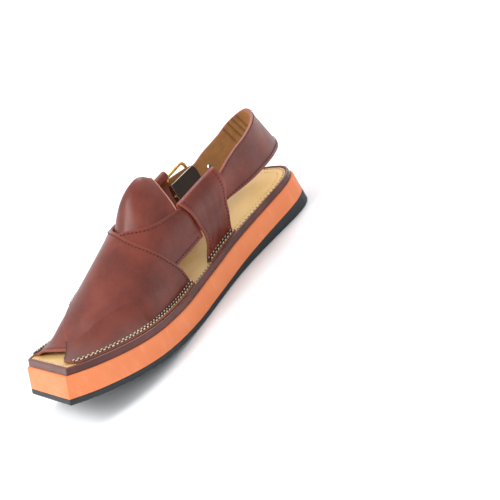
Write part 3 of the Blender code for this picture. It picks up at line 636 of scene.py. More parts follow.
def new_material(name, colour, roughness, metallic=0.0, coat=0.0, coat_roughness=0.3, specular=None):
    material = bpy.data.materials.new(name)
    material.use_nodes = True
    inputs = material.node_tree.nodes["Principled BSDF"].inputs
    inputs["Base Color"].default_value = (*colour, 1.0)
    inputs["Roughness"].default_value = roughness
    inputs["Metallic"].default_value = metallic
    inputs["Coat Weight"].default_value = coat
    inputs["Coat Roughness"].default_value = coat_roughness
    if specular is not None:
        inputs["Specular IOR Level"].default_value = specular
    return material


def scaled(colour, factor):
    return tuple(factor * value for value in colour)


class Nodes:
    """Short calls for building a material's nodes."""

    def __init__(self, material):
        self.tree = material.node_tree
        self.shader = self.tree.nodes["Principled BSDF"]
        self.place = self.tree.nodes.new("ShaderNodeTexCoord").outputs["Object"]

    def join(self, value, socket):
        """Set a socket to a number or a colour, or link it to another node's output."""
        if isinstance(value, tuple) and len(value) == 3 and socket.type == 'RGBA':
            socket.default_value = (*value, 1.0)
        elif isinstance(value, (int, float, tuple)):
            socket.default_value = value
        else:
            self.tree.links.new(value, socket)

    def node(self, kind, **values):
        """A new node with its inputs joined by name."""
        node = self.tree.nodes.new("ShaderNode" + kind)
        for name, value in values.items():
            self.join(value, node.inputs[name.replace("_", " ")])
        return node

    def stretched(self, stretch):
        if stretch is None:
            return self.place
        return self.node("Mapping", Scale=stretch, Vector=self.place).outputs["Vector"]

    def noise(self, scale, detail, stretch=None):
        return self.node("TexNoise", Scale=scale, Detail=detail, Roughness=0.55,
                         Vector=self.stretched(stretch)).outputs["Fac"]

    def cells(self, scale):
        node = self.node("TexVoronoi")
        node.feature = 'DISTANCE_TO_EDGE'
        self.join(scale, node.inputs["Scale"])
        self.join(self.place, node.inputs["Vector"])
        return node.outputs["Distance"]

    def attribute(self, name):
        node = self.node("Attribute")
        node.attribute_name = name
        return node.outputs["Fac"]

    def upward(self):
        """How far the surface faces up, from -1 to 1."""
        normal = self.node("NewGeometry").outputs["Normal"]
        return self.node("SeparateXYZ", Vector=normal).outputs["Z"]

    def spread(self, value, low, high, to_low=0.0, to_high=1.0):
        """The value from low to high, spread over to_low to to_high."""
        node = self.node("MapRange", From_Min=low, From_Max=high, To_Min=to_low, To_Max=to_high, Value=value)
        node.interpolation_type = 'SMOOTHSTEP'
        return node.outputs["Result"]

    def patches(self, scale, detail, *limits, stretch=None):
        """Noise spread between limits."""
        return self.spread(self.noise(scale, detail, stretch), *limits)

    def times(self, first, second):
        node = self.node("Math")
        node.operation = 'MULTIPLY'
        self.join(first, node.inputs[0])
        self.join(second, node.inputs[1])
        return node.outputs["Value"]

    def blend(self, share, first, second):
        """A colour between two colours, by a share from another node."""
        node = self.node("Mix")
        node.data_type = 'RGBA'
        self.join(share, node.inputs["Factor"])
        self.join(first, node.inputs[6])
        self.join(second, node.inputs[7])
        return node.outputs[2]

    def tint(self, base, value, amount, colour):
        """The base colour, changed towards another colour by an amount of a value."""
        return self.blend(self.times(value, amount), base, colour)

    def colour(self, value):
        self.join(value, self.shader.inputs["Base Color"])

    def roughness(self, *patches):
        self.join(self.patches(*patches), self.shader.inputs["Roughness"])

    def bump(self, *layers):
        """Stack bumps: each layer is a height value, its depth in metres and its strength."""
        normal = None
        for value, depth, strength in layers:
            node = self.node("Bump", Strength=strength, Distance=depth, Height=value)
            if normal is not None:
                self.join(normal, node.inputs["Normal"])
            normal = node.outputs["Normal"]
        self.join(normal, self.shader.inputs["Normal"])


def leather_material(name, light, dark, roughness, crease_shade_share=0.55):
    """Smooth finished leather: broad colour drift, fine pebbled grain and a waxed coat, paler edges that are
    partly wear and partly a painted highlight, and painted shade in creases.
    """
    material = new_material(name, light, roughness, 0.0, LEATHER_COAT, 0.30, LEATHER_SPECULAR)
    nodes = Nodes(material)
    pull = nodes.blend(nodes.patches(28.0, 3.0, 0.34, 0.68), dark, light)
    speck = nodes.tint(pull, nodes.patches(420.0, 3.0, 0.30, 0.75), 0.20, scaled(light, 1.35))
    # Edges and the fold of the side straps turn paler: partly wear, partly a painted highlight.
    edge_wear_and_highlight = nodes.tint(speck, nodes.attribute("edge"), 0.40, scaled(light, 1.9))
    # Creases and the foot of each piece turn darker: painted shade.
    nodes.colour(nodes.tint(edge_wear_and_highlight, nodes.attribute("crease_shade"), crease_shade_share, scaled(dark, 0.45)))
    nodes.roughness(60.0, 4.0, 0.3, 0.7, roughness - 0.05, roughness + 0.07)
    nodes.bump((nodes.noise(240.0, 3.0), 0.00020, 0.25),
               (nodes.spread(nodes.cells(1150.0), 0.0, 0.22), 0.00012, 0.22),
               (nodes.noise(3000.0, 2.0), 0.00004, 0.30))
    return material


def suede_material(name, light, dark, roughness):
    """Raw or lined leather: fibrous, dry and a little streaked, with painted shade in its creases."""
    material = new_material(name, light, roughness)
    nodes = Nodes(material)
    base = nodes.blend(nodes.patches(45.0, 5.0, 0.30, 0.72), dark, light)
    streak = nodes.patches(600.0, 3.0, 0.35, 0.7, stretch=(0.25, 1.0, 1.0))
    fibre = nodes.tint(base, streak, 0.30, scaled(dark, 0.75))
    # Creases darken: painted shade.
    nodes.colour(nodes.tint(fibre, nodes.attribute("crease_shade"), 0.70, scaled(dark, 0.35)))
    nodes.bump((nodes.noise(900.0, 4.0), 0.00010, 0.5), (nodes.noise(2600.0, 3.0), 0.00005, 0.5))
    return material


def midsole_material():
    """Tan cellular rubber, trimmed by a knife and dyed, paler where the edge was sanded."""
    material = new_material("midsole_tan_rubber", MIDSOLE_TAN, 0.52)
    nodes = Nodes(material)
    base = nodes.blend(nodes.patches(38.0, 5.0, 0.30, 0.72), MIDSOLE_DEEP, MIDSOLE_TAN)
    rub = nodes.patches(190.0, 4.0, 0.52, 0.80, stretch=(1.0, 1.0, 0.3))
    nodes.colour(nodes.tint(base, rub, 0.35, MIDSOLE_PALE))
    nodes.roughness(90.0, 4.0, 0.3, 0.7, 0.46, 0.60)
    nodes.bump((nodes.noise(700.0, 4.0, (1.0, 1.0, 0.35)), 0.00012, 0.35),
               (nodes.noise(2200.0, 2.0), 0.00005, 0.35))
    return material


def outsole_material():
    """Black rubber with a fine moulded speckle, and shallow bars across its underside."""
    material = new_material("outsole_black_rubber", RUBBER_BLACK, 0.58)
    nodes = Nodes(material)
    nodes.colour(nodes.tint(RUBBER_BLACK, nodes.patches(150.0, 5.0, 0.42, 0.80), 0.5, RUBBER_GREY))
    bars = nodes.node("TexWave", Scale=TREAD_BARS_SCALE, Distortion=0.0, Vector=nodes.place)
    bars.wave_type = 'BANDS'
    bars.bands_direction = 'X'
    cut_bars = nodes.spread(bars.outputs["Fac"], 0.35, 0.55)
    below = nodes.spread(nodes.upward(), -0.9, -0.6, 1.0, 0.0)
    nodes.bump((nodes.times(cut_bars, below), 0.0012, 0.8), (nodes.noise(1200.0, 3.0), 0.00012, 0.4))
    return material


def welt_material():
    """Waxed brown leather edge: darker on the side, and paler on its upward-facing top as painted light from
    above.
    """
    material = new_material("welt_brown_leather", WELT_BROWN, 0.42, 0.0, 0.25, 0.35, LEATHER_SPECULAR)
    nodes = Nodes(material)
    side = nodes.blend(nodes.patches(55.0, 4.0, 0.32, 0.70), WELT_DARK, WELT_BROWN)
    # Faces that look up blend towards the paler top colour: painted light from above.
    nodes.colour(nodes.blend(nodes.spread(nodes.upward(), 0.25, 0.85, 0.0, 0.75), side, WELT_TOP_LIT))
    nodes.bump((nodes.noise(260.0, 4.0, (0.5, 0.5, 1.6)), 0.00018, 0.35),
               (nodes.noise(1500.0, 3.0), 0.00006, 0.4))
    return material


def insole_material():
    """Smooth tan leather with darker patches and flecks, and a fine dry grain."""
    material = new_material("insole_tan_leather", INSOLE_TAN, 0.50, 0.0, 0.08, 0.4)
    nodes = Nodes(material)
    base = nodes.blend(nodes.patches(26.0, 4.0, 0.28, 0.74), INSOLE_DEEP, INSOLE_TAN)
    nodes.colour(nodes.tint(base, nodes.patches(520.0, 4.0, 0.56, 0.78), 0.30, INSOLE_FLECK))
    nodes.bump((nodes.noise(300.0, 3.0), 0.00015, 0.25),
               (nodes.spread(nodes.cells(1500.0), 0.0, 0.18), 0.00008, 0.25))
    return material


def thread_material(name, colour, shade):
    """Waxed thread with a fine twist."""
    material = new_material(name, colour, 0.55)
    nodes = Nodes(material)
    nodes.colour(nodes.blend(nodes.patches(900.0, 2.0, 0.35, 0.7), shade, colour))
    nodes.bump((nodes.noise(3200.0, 2.0), 0.00008, 0.6))
    return material


def brass_material():
    """Polished brass with a little tarnish."""
    material = new_material("buckle_brass", BRASS, 0.24, metallic=1.0)
    nodes = Nodes(material)
    nodes.colour(nodes.tint(BRASS, nodes.patches(210.0, 4.0, 0.45, 0.80), 0.45, BRASS_DARK))
    nodes.roughness(380.0, 3.0, 0.35, 0.75, 0.18, 0.36)
    nodes.bump((nodes.noise(1400.0, 2.0), 0.00004, 0.3))
    return material


def make_piece(name, points, faces, materials, slots=None, attributes=None, sharp_angle=180.0):
    """One closed piece from world points, faces, a material index per face and named point values."""
    mesh = bpy.data.meshes.new(name)
    work = bmesh.new()
    vertices = [work.verts.new(point) for point in points]
    for number, face in enumerate(faces):
        made = work.faces.new([vertices[index] for index in dict.fromkeys(face)])
        made.material_index = slots[number] if slots else 0
    bmesh.ops.recalc_face_normals(work, faces=work.faces)
    work.to_mesh(mesh)
    work.free()
    for title, values in (attributes or {}).items():
        layer = mesh.attributes.new(title, 'FLOAT', 'POINT')
        layer.data.foreach_set("value", values)
    mesh.shade_smooth()
    mesh.set_sharp_from_angle(angle=math.radians(sharp_angle))
    for material in materials:
        mesh.materials.append(material)
    piece = add_object(name, mesh)
    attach(piece, "root")
    return piece


def world(point):
    s, m, z = point
    return Vector((HEEL_X - s, MIDDLE_Y - m, z))


def sheet(name, outside, inside, edge, crease_shade, looks, face="leather", back="lining", rim_look="cut_edge"):
    """A leather sheet between two grids of s, m, z points, with a rounded cut edge all round."""
    rows, columns = len(outside), len(outside[0])
    count = rows * columns
    points = [world(point) for line in outside for point in line]
    points += [world(point) for line in inside for point in line]
    # Edge values pale the leather, partly wear and partly a painted highlight; crease_shade values darken it
    # as painted shade.
    edge_values, crease_shade_values = ([value for line in grid for value in line] * 2 for grid in (edge, crease_shade))
    faces, slots = [], []
    for row in range(rows - 1):
        for column in range(columns - 1):
            start = row * columns + column
            quad = (start, start + 1, start + columns + 1, start + columns)
            faces += [quad, tuple(index + count for index in quad[::-1])]
            slots += [0, 1]
    rim = [(0, column) for column in range(columns)]
    rim += [(row, columns - 1) for row in range(1, rows)]
    rim += [(rows - 1, column) for column in range(columns - 2, -1, -1)]
    rim += [(row, 0) for row in range(rows - 2, 0, -1)]
    middle = []
    for row, column in rim:
        inner_row = min(max(row, 1), rows - 2)
        inner_column = min(max(column, 1), columns - 2)
        here = points[row * columns + column]
        under = points[row * columns + column + count]
        neighbour = points[inner_row * columns + inner_column]
        outward = here - neighbour
        through = here - under
        if through.length > 1e-9:
            outward -= through * (outward.dot(through) / through.length_squared)
        if outward.length > 1e-9:
            outward.normalize()
        middle.append(len(points))
        points.append(0.5 * (here + under) + outward * EDGE_BULGE * through.length)
        # The rounded rim is made fully pale: partly its cut edge, partly a painted highlight.
        edge_values.append(1.0)
        crease_shade_values.append(0.0)
    for index, (row, column) in enumerate(rim):
        after = (index + 1) % len(rim)
        here = row * columns + column
        following = rim[after][0] * columns + rim[after][1]
        faces.append((here, following, middle[after], middle[index]))
        faces.append((middle[index], middle[after], following + count, here + count))
        slots += [2, 2]
    return make_piece(name, points, faces, [looks[face], looks[back], looks[rim_look]], slots,
                      {"edge": edge_values, "crease_shade": crease_shade_values}, 70.0)


def path_lengths(path):
    lengths = [0.0]
    for before, after in zip(path, path[1:]):
        lengths.append(lengths[-1] + (after[0] - before[0]).length)
    return lengths


def spaced_path(path, pitch, offset=0.0):
    """Places at an even pitch on a path of (point, normal) pairs: place, direction and normal of each."""
    lengths = path_lengths(path)
    places = []
    distance = offset
    index = 0
    while distance < lengths[-1]:
        while lengths[index + 1] < distance:
            index += 1
        share = (distance - lengths[index]) / max(lengths[index + 1] - lengths[index], 1e-9)
        before, after = path[index], path[index + 1]
        point = before[0].lerp(after[0], share)
        normal = before[1].lerp(after[1], share).normalized()
        direction = (after[0] - before[0]).normalized()
        places.append((point, direction, normal))
        distance += pitch
    return places


def ring_faces(start, rings, sides, closed=False):
    """Faces between rings of points that follow each other, with the last joined to the first if closed."""
    faces = []
    for ring in range(rings if closed else rings - 1):
        low, high = start + ring * sides, start + (ring + 1) % rings * sides
        for side in range(sides):
            after = (side + 1) % sides
            faces.append((low + side, low + after, high + after, high + side))
    return faces


def end_caps(start, rings, sides):
    last = start + (rings - 1) * sides
    return [tuple(range(start + sides - 1, start - 1, -1)), tuple(range(last, last + sides))]


def circle(sides):
    """Cosine and sine of even steps round a circle."""
    angles = [2.0 * math.pi * side / sides for side in range(sides)]
    return [(math.cos(angle), math.sin(angle)) for angle in angles]


def add_bead(points, faces, centre, along, across, upward, half_length, half_width, half_height,
             rings=5, sides=6):
    """A long bead, as one stitch shows, with its ends drawn in."""
    start = len(points)
    for ring in range(rings):
        place = 2.0 * ring / (rings - 1.0) - 1.0
        girth = math.sqrt(max(0.0, 1.0 - abs(place) ** 2.6)) * 0.92 + 0.08
        dip = -0.9 * half_height * place ** 4
        for cosine, sine in circle(sides):
            points.append(centre + along * half_length * place + across * half_width * girth * cosine
                          + upward * (half_height * girth * sine + dip))
    faces += ring_faces(start, rings, sides) + end_caps(start, rings, sides)


def stitch_row(name, path, material, pitch=0.0036, length=0.0026, width=0.0008, slant=0.0):
    """Stitches along a path that lies on the leather."""
    points, faces = [], []
    for point, direction, normal in spaced_path(path, pitch, FIRST_STITCH):
        across = normal.cross(direction).normalized()
        turned = (direction + across * slant).normalized()
        side = normal.cross(turned).normalized()
        add_bead(points, faces, point + normal * STITCH_LIFT, turned, side, normal,
                 0.5 * length, 0.5 * width, 0.42 * width)
    return make_piece(name, points, faces, [material])


def hole_row(name, path, material, radius=0.00045):
    """Dark discs between the stitches of a row: painted shade standing in for the awl holes."""
    points, faces = [], []
    for point, direction, normal in spaced_path(path, HOLE_PITCH, FIRST_HOLE):
        across = normal.cross(direction).normalized()
        add_bead(points, faces, point + normal * 0.00002, direction, across, normal,
                 1.25 * radius, radius, 0.00016)
    return make_piece(name, points, faces, [material])


def strand(name, path, radius, material, twist_radius=0.0, twist_pitch=0.006, phase=0.0):
    """A round thread along a path of (point, normal) pairs, wound round it where it has a twist radius."""
    step, sides = 0.0007, 8
    centres = []
    places = spaced_path(path, step)
    for number, (point, direction, normal) in enumerate(places):
        across = normal.cross(direction).normalized()
        angle = phase + 2.0 * math.pi * number * step / twist_pitch
        centres.append(point + twist_radius * (across * math.cos(angle) + normal * math.sin(angle)))
    points = []
    for index, centre in enumerate(centres):
        ahead = centres[min(index + 1, len(centres) - 1)]
        behind = centres[max(index - 1, 0)]
        direction = (ahead - behind).normalized()
        normal = places[index][2]
        across = normal.cross(direction).normalized()
        upward = direction.cross(across).normalized()
        points += [centre + radius * (across * cosine + upward * sine) for cosine, sine in circle(sides)]
    faces = ring_faces(0, len(centres), sides) + end_caps(0, len(centres), sides)
    return make_piece(name, points, faces, [material])


def edge_share(share, width, length):
    """1 at an edge that lies share of a length away, fading to 0 over a width."""
    return 1.0 - ease(share * length / width)


def both_edges(share, width, length):
    """Edge share of the nearer of two edges, at share 0 and share 1."""
    return max(edge_share(share, width, length), edge_share(1.0 - share, width, length))


def grids(rows, columns, cell):
    """Outside, inside, edge and crease_shade grids of a sheet, from a function that gives all four at a
    place. The edge grid pales edges, partly wear and partly a painted highlight; the crease_shade grid
    darkens creases as painted shade.
    """
    lines = [[cell(row, column) for column in columns] for row in rows]
    return [[[values[part] for values in line] for line in lines] for part in range(4)]


def soft_fold(distance, width):
    """A rounded trough or ridge: 1 in its middle, 0 beyond its width."""
    return math.exp(-(distance / width) ** 2)


def panel_side(t, inner):
    """Place round the section, counted from the inner edge, of a place counted from a panel's own edge."""
    return t if inner else 1.0 - t


def vamp_relief(s, t, inner):
    """Height and darkness of the vamp's own unevenness: broad hollows and the pull towards the seam, with
    painted shade beside the foot seam.
    """
    foot = soft_fold(t - 0.055, 0.035)
    place = skin(s, panel_side(t, inner))
    roll = 0.0005 * noise_at(place, 34.0, 3.0 if inner else 8.0)
    tuck = 0.00022 * foot * math.sin(s * 2.0 * math.pi / TUCK_PITCH + 2.0 * noise_at(place, 60.0))
    return roll + tuck, 0.35 * foot


def relief_fade(s, t):
    """How much of the vamp's unevenness is left: none at its foot and none at the toe."""
    return ease(t / 0.05) * (1.0 - ease((s - FLAT_START * APEX_STATION) / 0.012))


def panel_place(table, inner, row_share, share):
    """Station and place round the section on a panel, with the toe's opening left free."""
    front_share, front_t, rear_share, rear_t = table_rows_evenly(table, row_share)
    s, t = SOLE_LENGTH * mix(front_share, rear_share, share), mix(front_t, rear_t, share)
    return s, min(t, RIDGE_SIDE) if inner and s > APEX_STATION else t


def panel_grids(table, inner):
    """Grids of one panel of the vamp, finer than its solid. Its first row is the turned-in foot."""
    def cell(row, share):
        number, row_share = row
        s, t = panel_place(table, inner, max(row_share, 0.0), share)
        foot = insole_top(s) + FIT_GAP
        # Pale edges: partly wear, partly a painted highlight.
        rim = max(both_edges(share, PANEL_RIM, PANEL_WIDTH),
                  edge_share(1.0 - row_share, PANEL_RIM, PANEL_HEIGHT))
        if number <= 1:
            m = (inner_edge if inner else outer_edge)(s, FEATHER_INSET if number else FLANGE_INSET)
            m = m if inner else max(m, toe_side(s, FLANGE_INSET))
            outward = number * FOOT_BULGE * (LEATHER if inner else -LEATHER)
            s = raked(s, m, insole_top(s))[0]
            # The turned-in foot is darkened as painted shade where it meets the insole.
            return (s, m + outward, foot + LEATHER), (s, m, foot), rim, 0.6 if number else 0.2
        side = panel_side(t, inner)
        base, normal = skin(s, side), skin_normal(s, side)
        offset = lap_offset(s, t) if inner else 0.0
        relief, dark = vamp_relief(s, t, inner)
        high = base + normal * (offset + LEATHER + relief * relief_fade(s, t))
        return (high.x, high.y, max(high.z, foot + LEATHER)), tuple(base + normal * offset), rim, dark

    row_shares = [-1.0] + shares_with_edges(VAMP_ROWS, 0.006)
    return grids(list(enumerate(row_shares)), shares_with_edges(VAMP_COLUMNS, 0.006), cell)


def world_direction(direction):
    return Vector((-direction.x, -direction.y, direction.z))


def column_share_near(table, row_share, distance, from_rear):
    """Share across a panel at a distance from one of its edges, at a place up the panel."""
    front_share, front_t, rear_share, rear_t = table_rows_evenly(table, row_share)
    across = skin(SOLE_LENGTH * front_share, front_t) - skin(SOLE_LENGTH * rear_share, rear_t)
    share = distance / max(across.length, 1e-6)
    return 1.0 - share if from_rear else share


def seam_beside_edge(table, inner, distance, from_rear, start, end, steps):
    """Path of a seam at an even distance inside one edge of a panel."""
    path = []
    for step in range(steps + 1):
        row_share = mix(start, end, step / steps)
        share = column_share_near(table, row_share, distance, from_rear)
        s, t = panel_place(table, inner, row_share, share)
        side = panel_side(t, inner)
        normal = skin_normal(s, side)
        lap = lap_offset(s, t) if inner else 0.0
        offset = lap + LEATHER + SEAM_LIFT + relief_fade(s, t) * vamp_relief(s, t, inner)[0]
        point = skin(s, side) + normal * offset
        point.z = max(point.z, insole_top(s) + FIT_GAP + LEATHER + SEAM_LIFT)
        path.append((world(point), world_direction(normal)))
    return path


def make_vamp(looks):
    """The two crossed panels, each with its cut edges and its rear, front and band seams."""
    panels = (("vamp_inner_panel", INNER_PANEL, True), ("vamp_outer_panel", OUTER_PANEL, False))
    for name, table, inner in panels:
        piece = sheet(name, *panel_grids(table, inner), looks)
        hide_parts("upper")
        front = (0.02, 0.40) if inner else (0.03, 0.22)
        for title, distance, from_rear, start, end, steps, stitch in (
                ("_rear_seam", SEAM_INSET, True, 0.012, 0.985, 140, LONG_STITCH),
                ("_front_seam", FRONT_SEAM_INSET, False, *front, 80, SHORT_STITCH),
                ("_band_seam", SEAM_INSET, False, 0.62, 0.985, 80, LONG_STITCH)):
            path = seam_beside_edge(table, inner, distance, from_rear, start, end, steps)
            seam = stitch_row(name + title, path, looks["red_thread"], *stitch)


def make_tongue(looks, rows=64, columns=44):
    """The padded lobe behind the crossing, with its thin rear edge and a soft fold at its root, darkened by
    painted shade.
    """
    def cell(row_share, column_share):
        share = row_share ** 1.15
        bulge, bulge_width, width, peak = table_row(TONGUE_FORM, share)
        across = 2.0 * column_share - 1.0
        t = 0.5 + width * across
        s = mix(TONGUE_BACK + TONGUE_EAR * abs(across) ** 1.15, TONGUE_FRONT, share)
        normal = skin_normal(s, t)
        place = clamp(abs(t - 0.5) / bulge_width)
        lift = TONGUE_BULGE * bulge * math.cos(0.5 * math.pi * place) ** peak
        fullness = math.sqrt(clamp(share / 0.07)) * math.sqrt(max(0.0, 1.0 - across ** 8))
        thickness = TONGUE_THICKNESS * mix(0.25, 1.0, fullness) * mix(0.45, 1.0, clamp(bulge))
        relief = 0.0004 * noise_at((s, t * 0.1, lift), 50.0, 5.0) * ease(share / 0.08) * ease(bulge / 0.4)
        lifted = skin(s, t) - normal * TONGUE_CLEARANCE + Vector((0.0, 0.0, lift))
        # The rear edge turns pale, partly wear and partly a painted highlight, and the fold at the root is
        # darkened as painted shade.
        return (tuple(lifted + normal * relief), tuple(lifted - normal * thickness),
                edge_share(share, THIN_RIM, TONGUE_FRONT - TONGUE_BACK), 0.5 * soft_fold(share - 0.57, 0.05))

    outside, inside, *marks = grids(shares_with_edges(rows, 0.004), shares_with_edges(columns, 0.006), cell)
    piece = sheet("tongue_lobe", outside, inside, *marks, looks)
    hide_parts("tongue")
    rear_edge = [(world(0.5 * (Vector(high) + Vector(low))), UP) for high, low in zip(outside[0], inside[0])]
    # A light bead along the rear edge: mostly a painted highlight on the rounded edge, partly its paler cut
    # edge.
    strand("tongue_edge", rear_edge, TONGUE_BEAD, looks["tongue_edge"])


def strap_layers(climb_steps, fold_steps, lining_steps):
    """Stations round a side strap's section, from its foot up, over its top and down inside."""
    layers = [("foot", 0.0)] + [("out", STRAP_TOP * step / climb_steps) for step in range(climb_steps + 1)]
    layers += [("fold", step / fold_steps) for step in range(1, fold_steps)]
    lining = [mix(STRAP_TOP, STRAP_LINING_END, step / lining_steps) for step in range(lining_steps + 1)]
    return layers + [("in", t) for t in lining]


def strap_station(t, share):
    front, rear = table_row(SIDE_STRAP_EDGES, t)
    return STRAP_CENTRE + STRAP_LENGTH * mix(front, rear, share)


def strap_point(inner, kind, value, share, lift):
    """Place and outward direction on a side strap's outer face, lifted by a distance."""
    t = STRAP_TOP if kind == "fold" else value
    s, side = strap_station(t, share), panel_side(t, inner)
    base, normal = skin(s, side), skin_normal(s, side)
    if kind == "out":
        return base + normal * (mix(0.0, STRAP_SLOT, ease(t / 0.14)) + lift), normal
    if kind == "in":
        return base - normal * (FIT_GAP + lift), -normal
    turn = 0.01 if inner else -0.01
    upward = (skin(s, side + turn) - skin(s, side - turn)).normalized()
    centre = base + normal * 0.5 * (STRAP_SLOT - FIT_GAP)
    arm = normal * math.cos(math.pi * value) + upward * math.sin(math.pi * value)
    return centre + arm * (0.5 * (STRAP_SLOT + FIT_GAP) + lift), arm


def strap_relief(inner, t, share):
    """Soft upright creases of a side strap, each with a place along it, a width, a depth and a slant; each
    trough is also darkened as painted shade.
    """
    total, dark = 0.0, 0.0
    for place, width, depth, slant in (STRAP_CREASES_INNER if inner else STRAP_CREASES_OUTER):
        shape = soft_fold(share - place - slant * (t - 0.18), width) * ease(t / 0.06)
        total -= depth * shape
        # Painted shade in each trough.
        dark += 0.5 * shape * depth / 0.0005
    return total, clamp(dark)


def make_side_strap(name, inner, looks):
    """One side strap, folded over at its top, with soft creases and seams along both edges."""
    def cell(layer, share):
        kind, value = layer
        t = STRAP_TOP if kind == "fold" else value
        s = strap_station(t, share)
        # Pale edges are partly wear and partly a painted highlight; the fold at the top is lightened as a
        # painted highlight.
        rim = max(both_edges(share, STRAP_RIM, STRAP_LENGTH), 0.55 if kind == "fold" else 0.0)
        if kind == "foot" or t == 0.0:
            foot = insole_top(s) + FIT_GAP
            m = (inner_edge if inner else outer_edge)(s, FLANGE_INSET if kind == "foot" else FEATHER_INSET)
            outward = 0.0 if kind == "foot" else FOOT_BULGE * (STRAP_LAYER if inner else -STRAP_LAYER)
            # Painted shade at the strap's foot, where it meets the insole.
            return (s, m + outward, foot + STRAP_LAYER), (s, m, foot), rim, 0.4
        relief, dark, wave = 0.0, 0.0, 0.0
        if kind == "out":
            relief, dark = strap_relief(inner, t, share)
            wave = 0.00035 * noise_at((s, t * 0.12, 0.0), 70.0, 2.0 if inner else 6.0) * ease(t / 0.06)
        high, arm = strap_point(inner, kind, value, share, STRAP_LAYER)
        low = strap_point(inner, kind, value, share, 0.0)[0]
        return tuple(high + arm * (relief + wave)), tuple(low), rim, dark

    layers = strap_layers(44, 14, 14)
    piece = sheet(name + "_leather", *grids(layers, shares_with_edges(34, 0.010), cell), looks)
    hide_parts(name)
    for side, share in STRAP_SEAMS:
        path = []
        for step in range(60):
            t = mix(STRAP_SEAM_START, STRAP_TOP, step / 59.0)
            point, normal = strap_point(inner, "out", t, share, STRAP_LAYER)
            path.append((world(point + normal * strap_relief(inner, t, share)[0]), world_direction(normal)))
        seam = stitch_row(name + "_" + side + "_seam", path, looks["red_thread"], *LONG_STITCH)


def heel_strap_places(share_up):
    """Places of the heel strap's middle layer at a height share, from the inner side to its tail."""
    route = []
    for share in STRAP_END_SHARES:
        s = STRAP_CENTRE + STRAP_LENGTH * share
        t = mix(STRAP_END_LOW, STRAP_END_HIGH, share_up)
        route.append(skin(s, t) + skin_normal(s, t) * 0.5 * (STRAP_SLOT - FIT_GAP))
    for reach, side, height, width, lean in HEEL_STRAP_ROUTE:
        up = share_up - 0.5
        s = HEEL_STRAP_REAR + HEEL_STRAP_SPAN * reach + HEEL_STRAP_LEAN * lean * up
        z = HEEL_STRAP_HEIGHT * height + HEEL_STRAP_WIDTH * width * up
        route.append(Vector((s, HEEL_WIDTH * side, z)))
    rise = (share_up - 0.5) * HEEL_STRAP_WIDTH * TAIL_TAPER
    clear = WIRE_RADIUS + FIT_GAP + 0.5 * HEEL_STRAP_THICKNESS
    rear_bar = BUCKLE_BAR_STATION - BUCKLE_LENGTH
    inside_bar = BUCKLE_SIDE + BUCKLE_LEAN + clear
    outside_tab = BUCKLE_SIDE - clear - TAB_LAYER - 4.0 * FIT_GAP
    for along, sideways, up in REAR_BAR_PLACES:
        route.append(Vector((rear_bar + along, inside_bar + sideways, BUCKLE_CENTRE + up + rise)))
    for along, sideways in TAB_PLACES:
        route.append(Vector((BUCKLE_BAR_STATION + along, outside_tab + sideways, BUCKLE_CENTRE + rise)))
    tip = HEEL_STRAP_TAIL - TIP_ROUNDING * abs(2.0 * share_up - 1.0) ** 2.2
    route.append(Vector((tip, outside_tab + TIP_SIDE, BUCKLE_CENTRE + rise)))
    return route


def heel_strap_lines(shares, steps):
    lines = []
    for share_up in shares:
        rows = [tuple(point) for point in heel_strap_places(share_up)]
        lines.append([Vector(table_rows_evenly(rows, step / steps)) for step in range(steps + 1)])
    return lines


def strap_outward(lines, column, step):
    last = len(lines[0]) - 1
    along = lines[column][min(step + 1, last)] - lines[column][max(step - 1, 0)]
    up = lines[-1][step] - lines[0][step]
    return along.cross(up).normalized()


def heel_wave(point):
    return 0.00025 * noise_at(point, 55.0, 4.0)


def make_heel_strap(looks, steps=300):
    """The strap round the heel: leather outside, creased tan lining inside, seams and punched holes."""
    shares = shares_with_edges(20, 0.014)
    lines = heel_strap_lines(shares, steps)

    def cell(step, column):
        along, share_up, here = step / steps, shares[column], lines[column][step]
        normal = strap_outward(lines, column, step)
        gather = 0.0
        for place, width, reach in LINING_CREASES:
            gather += soft_fold(along - place - 0.012 * share_up, width) * ease((share_up - reach) / 0.25)
        gather = clamp(gather)
        wave = heel_wave(here) * (ease(along / 0.05) * ease((1.0 - along) / 0.05))
        # The gather also darkens the lining's creases as painted shade; the edges turn pale, partly wear and
        # partly a painted highlight.
        return (tuple(here + normal * (0.5 * HEEL_STRAP_THICKNESS + wave)),
                tuple(here - normal * (0.5 * HEEL_STRAP_THICKNESS - LINING_CREASE_DEPTH * gather)),
                both_edges(share_up, THIN_RIM, HEEL_STRAP_WIDTH), gather)

    places = range(steps + 1), range(len(shares))
    strap = sheet("heel_strap_leather", *grids(*places, cell), looks, "heel_leather")
    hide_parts("heel_strap")
    punch_holes(strap, lines)
    for side, column in (("lower", 3), ("upper", len(shares) - 3)):
        path = []
        for step in range(int(0.10 * steps), int(0.60 * steps)):
            here, normal = lines[column][step], strap_outward(lines, column, step)
            height = 0.5 * HEEL_STRAP_THICKNESS + heel_wave(here) + SEAM_LIFT
            path.append((world(here + normal * height), world_direction(normal)))
        seam = stitch_row("heel_strap_" + side + "_seam", path, looks["red_thread"], *LONG_STITCH)


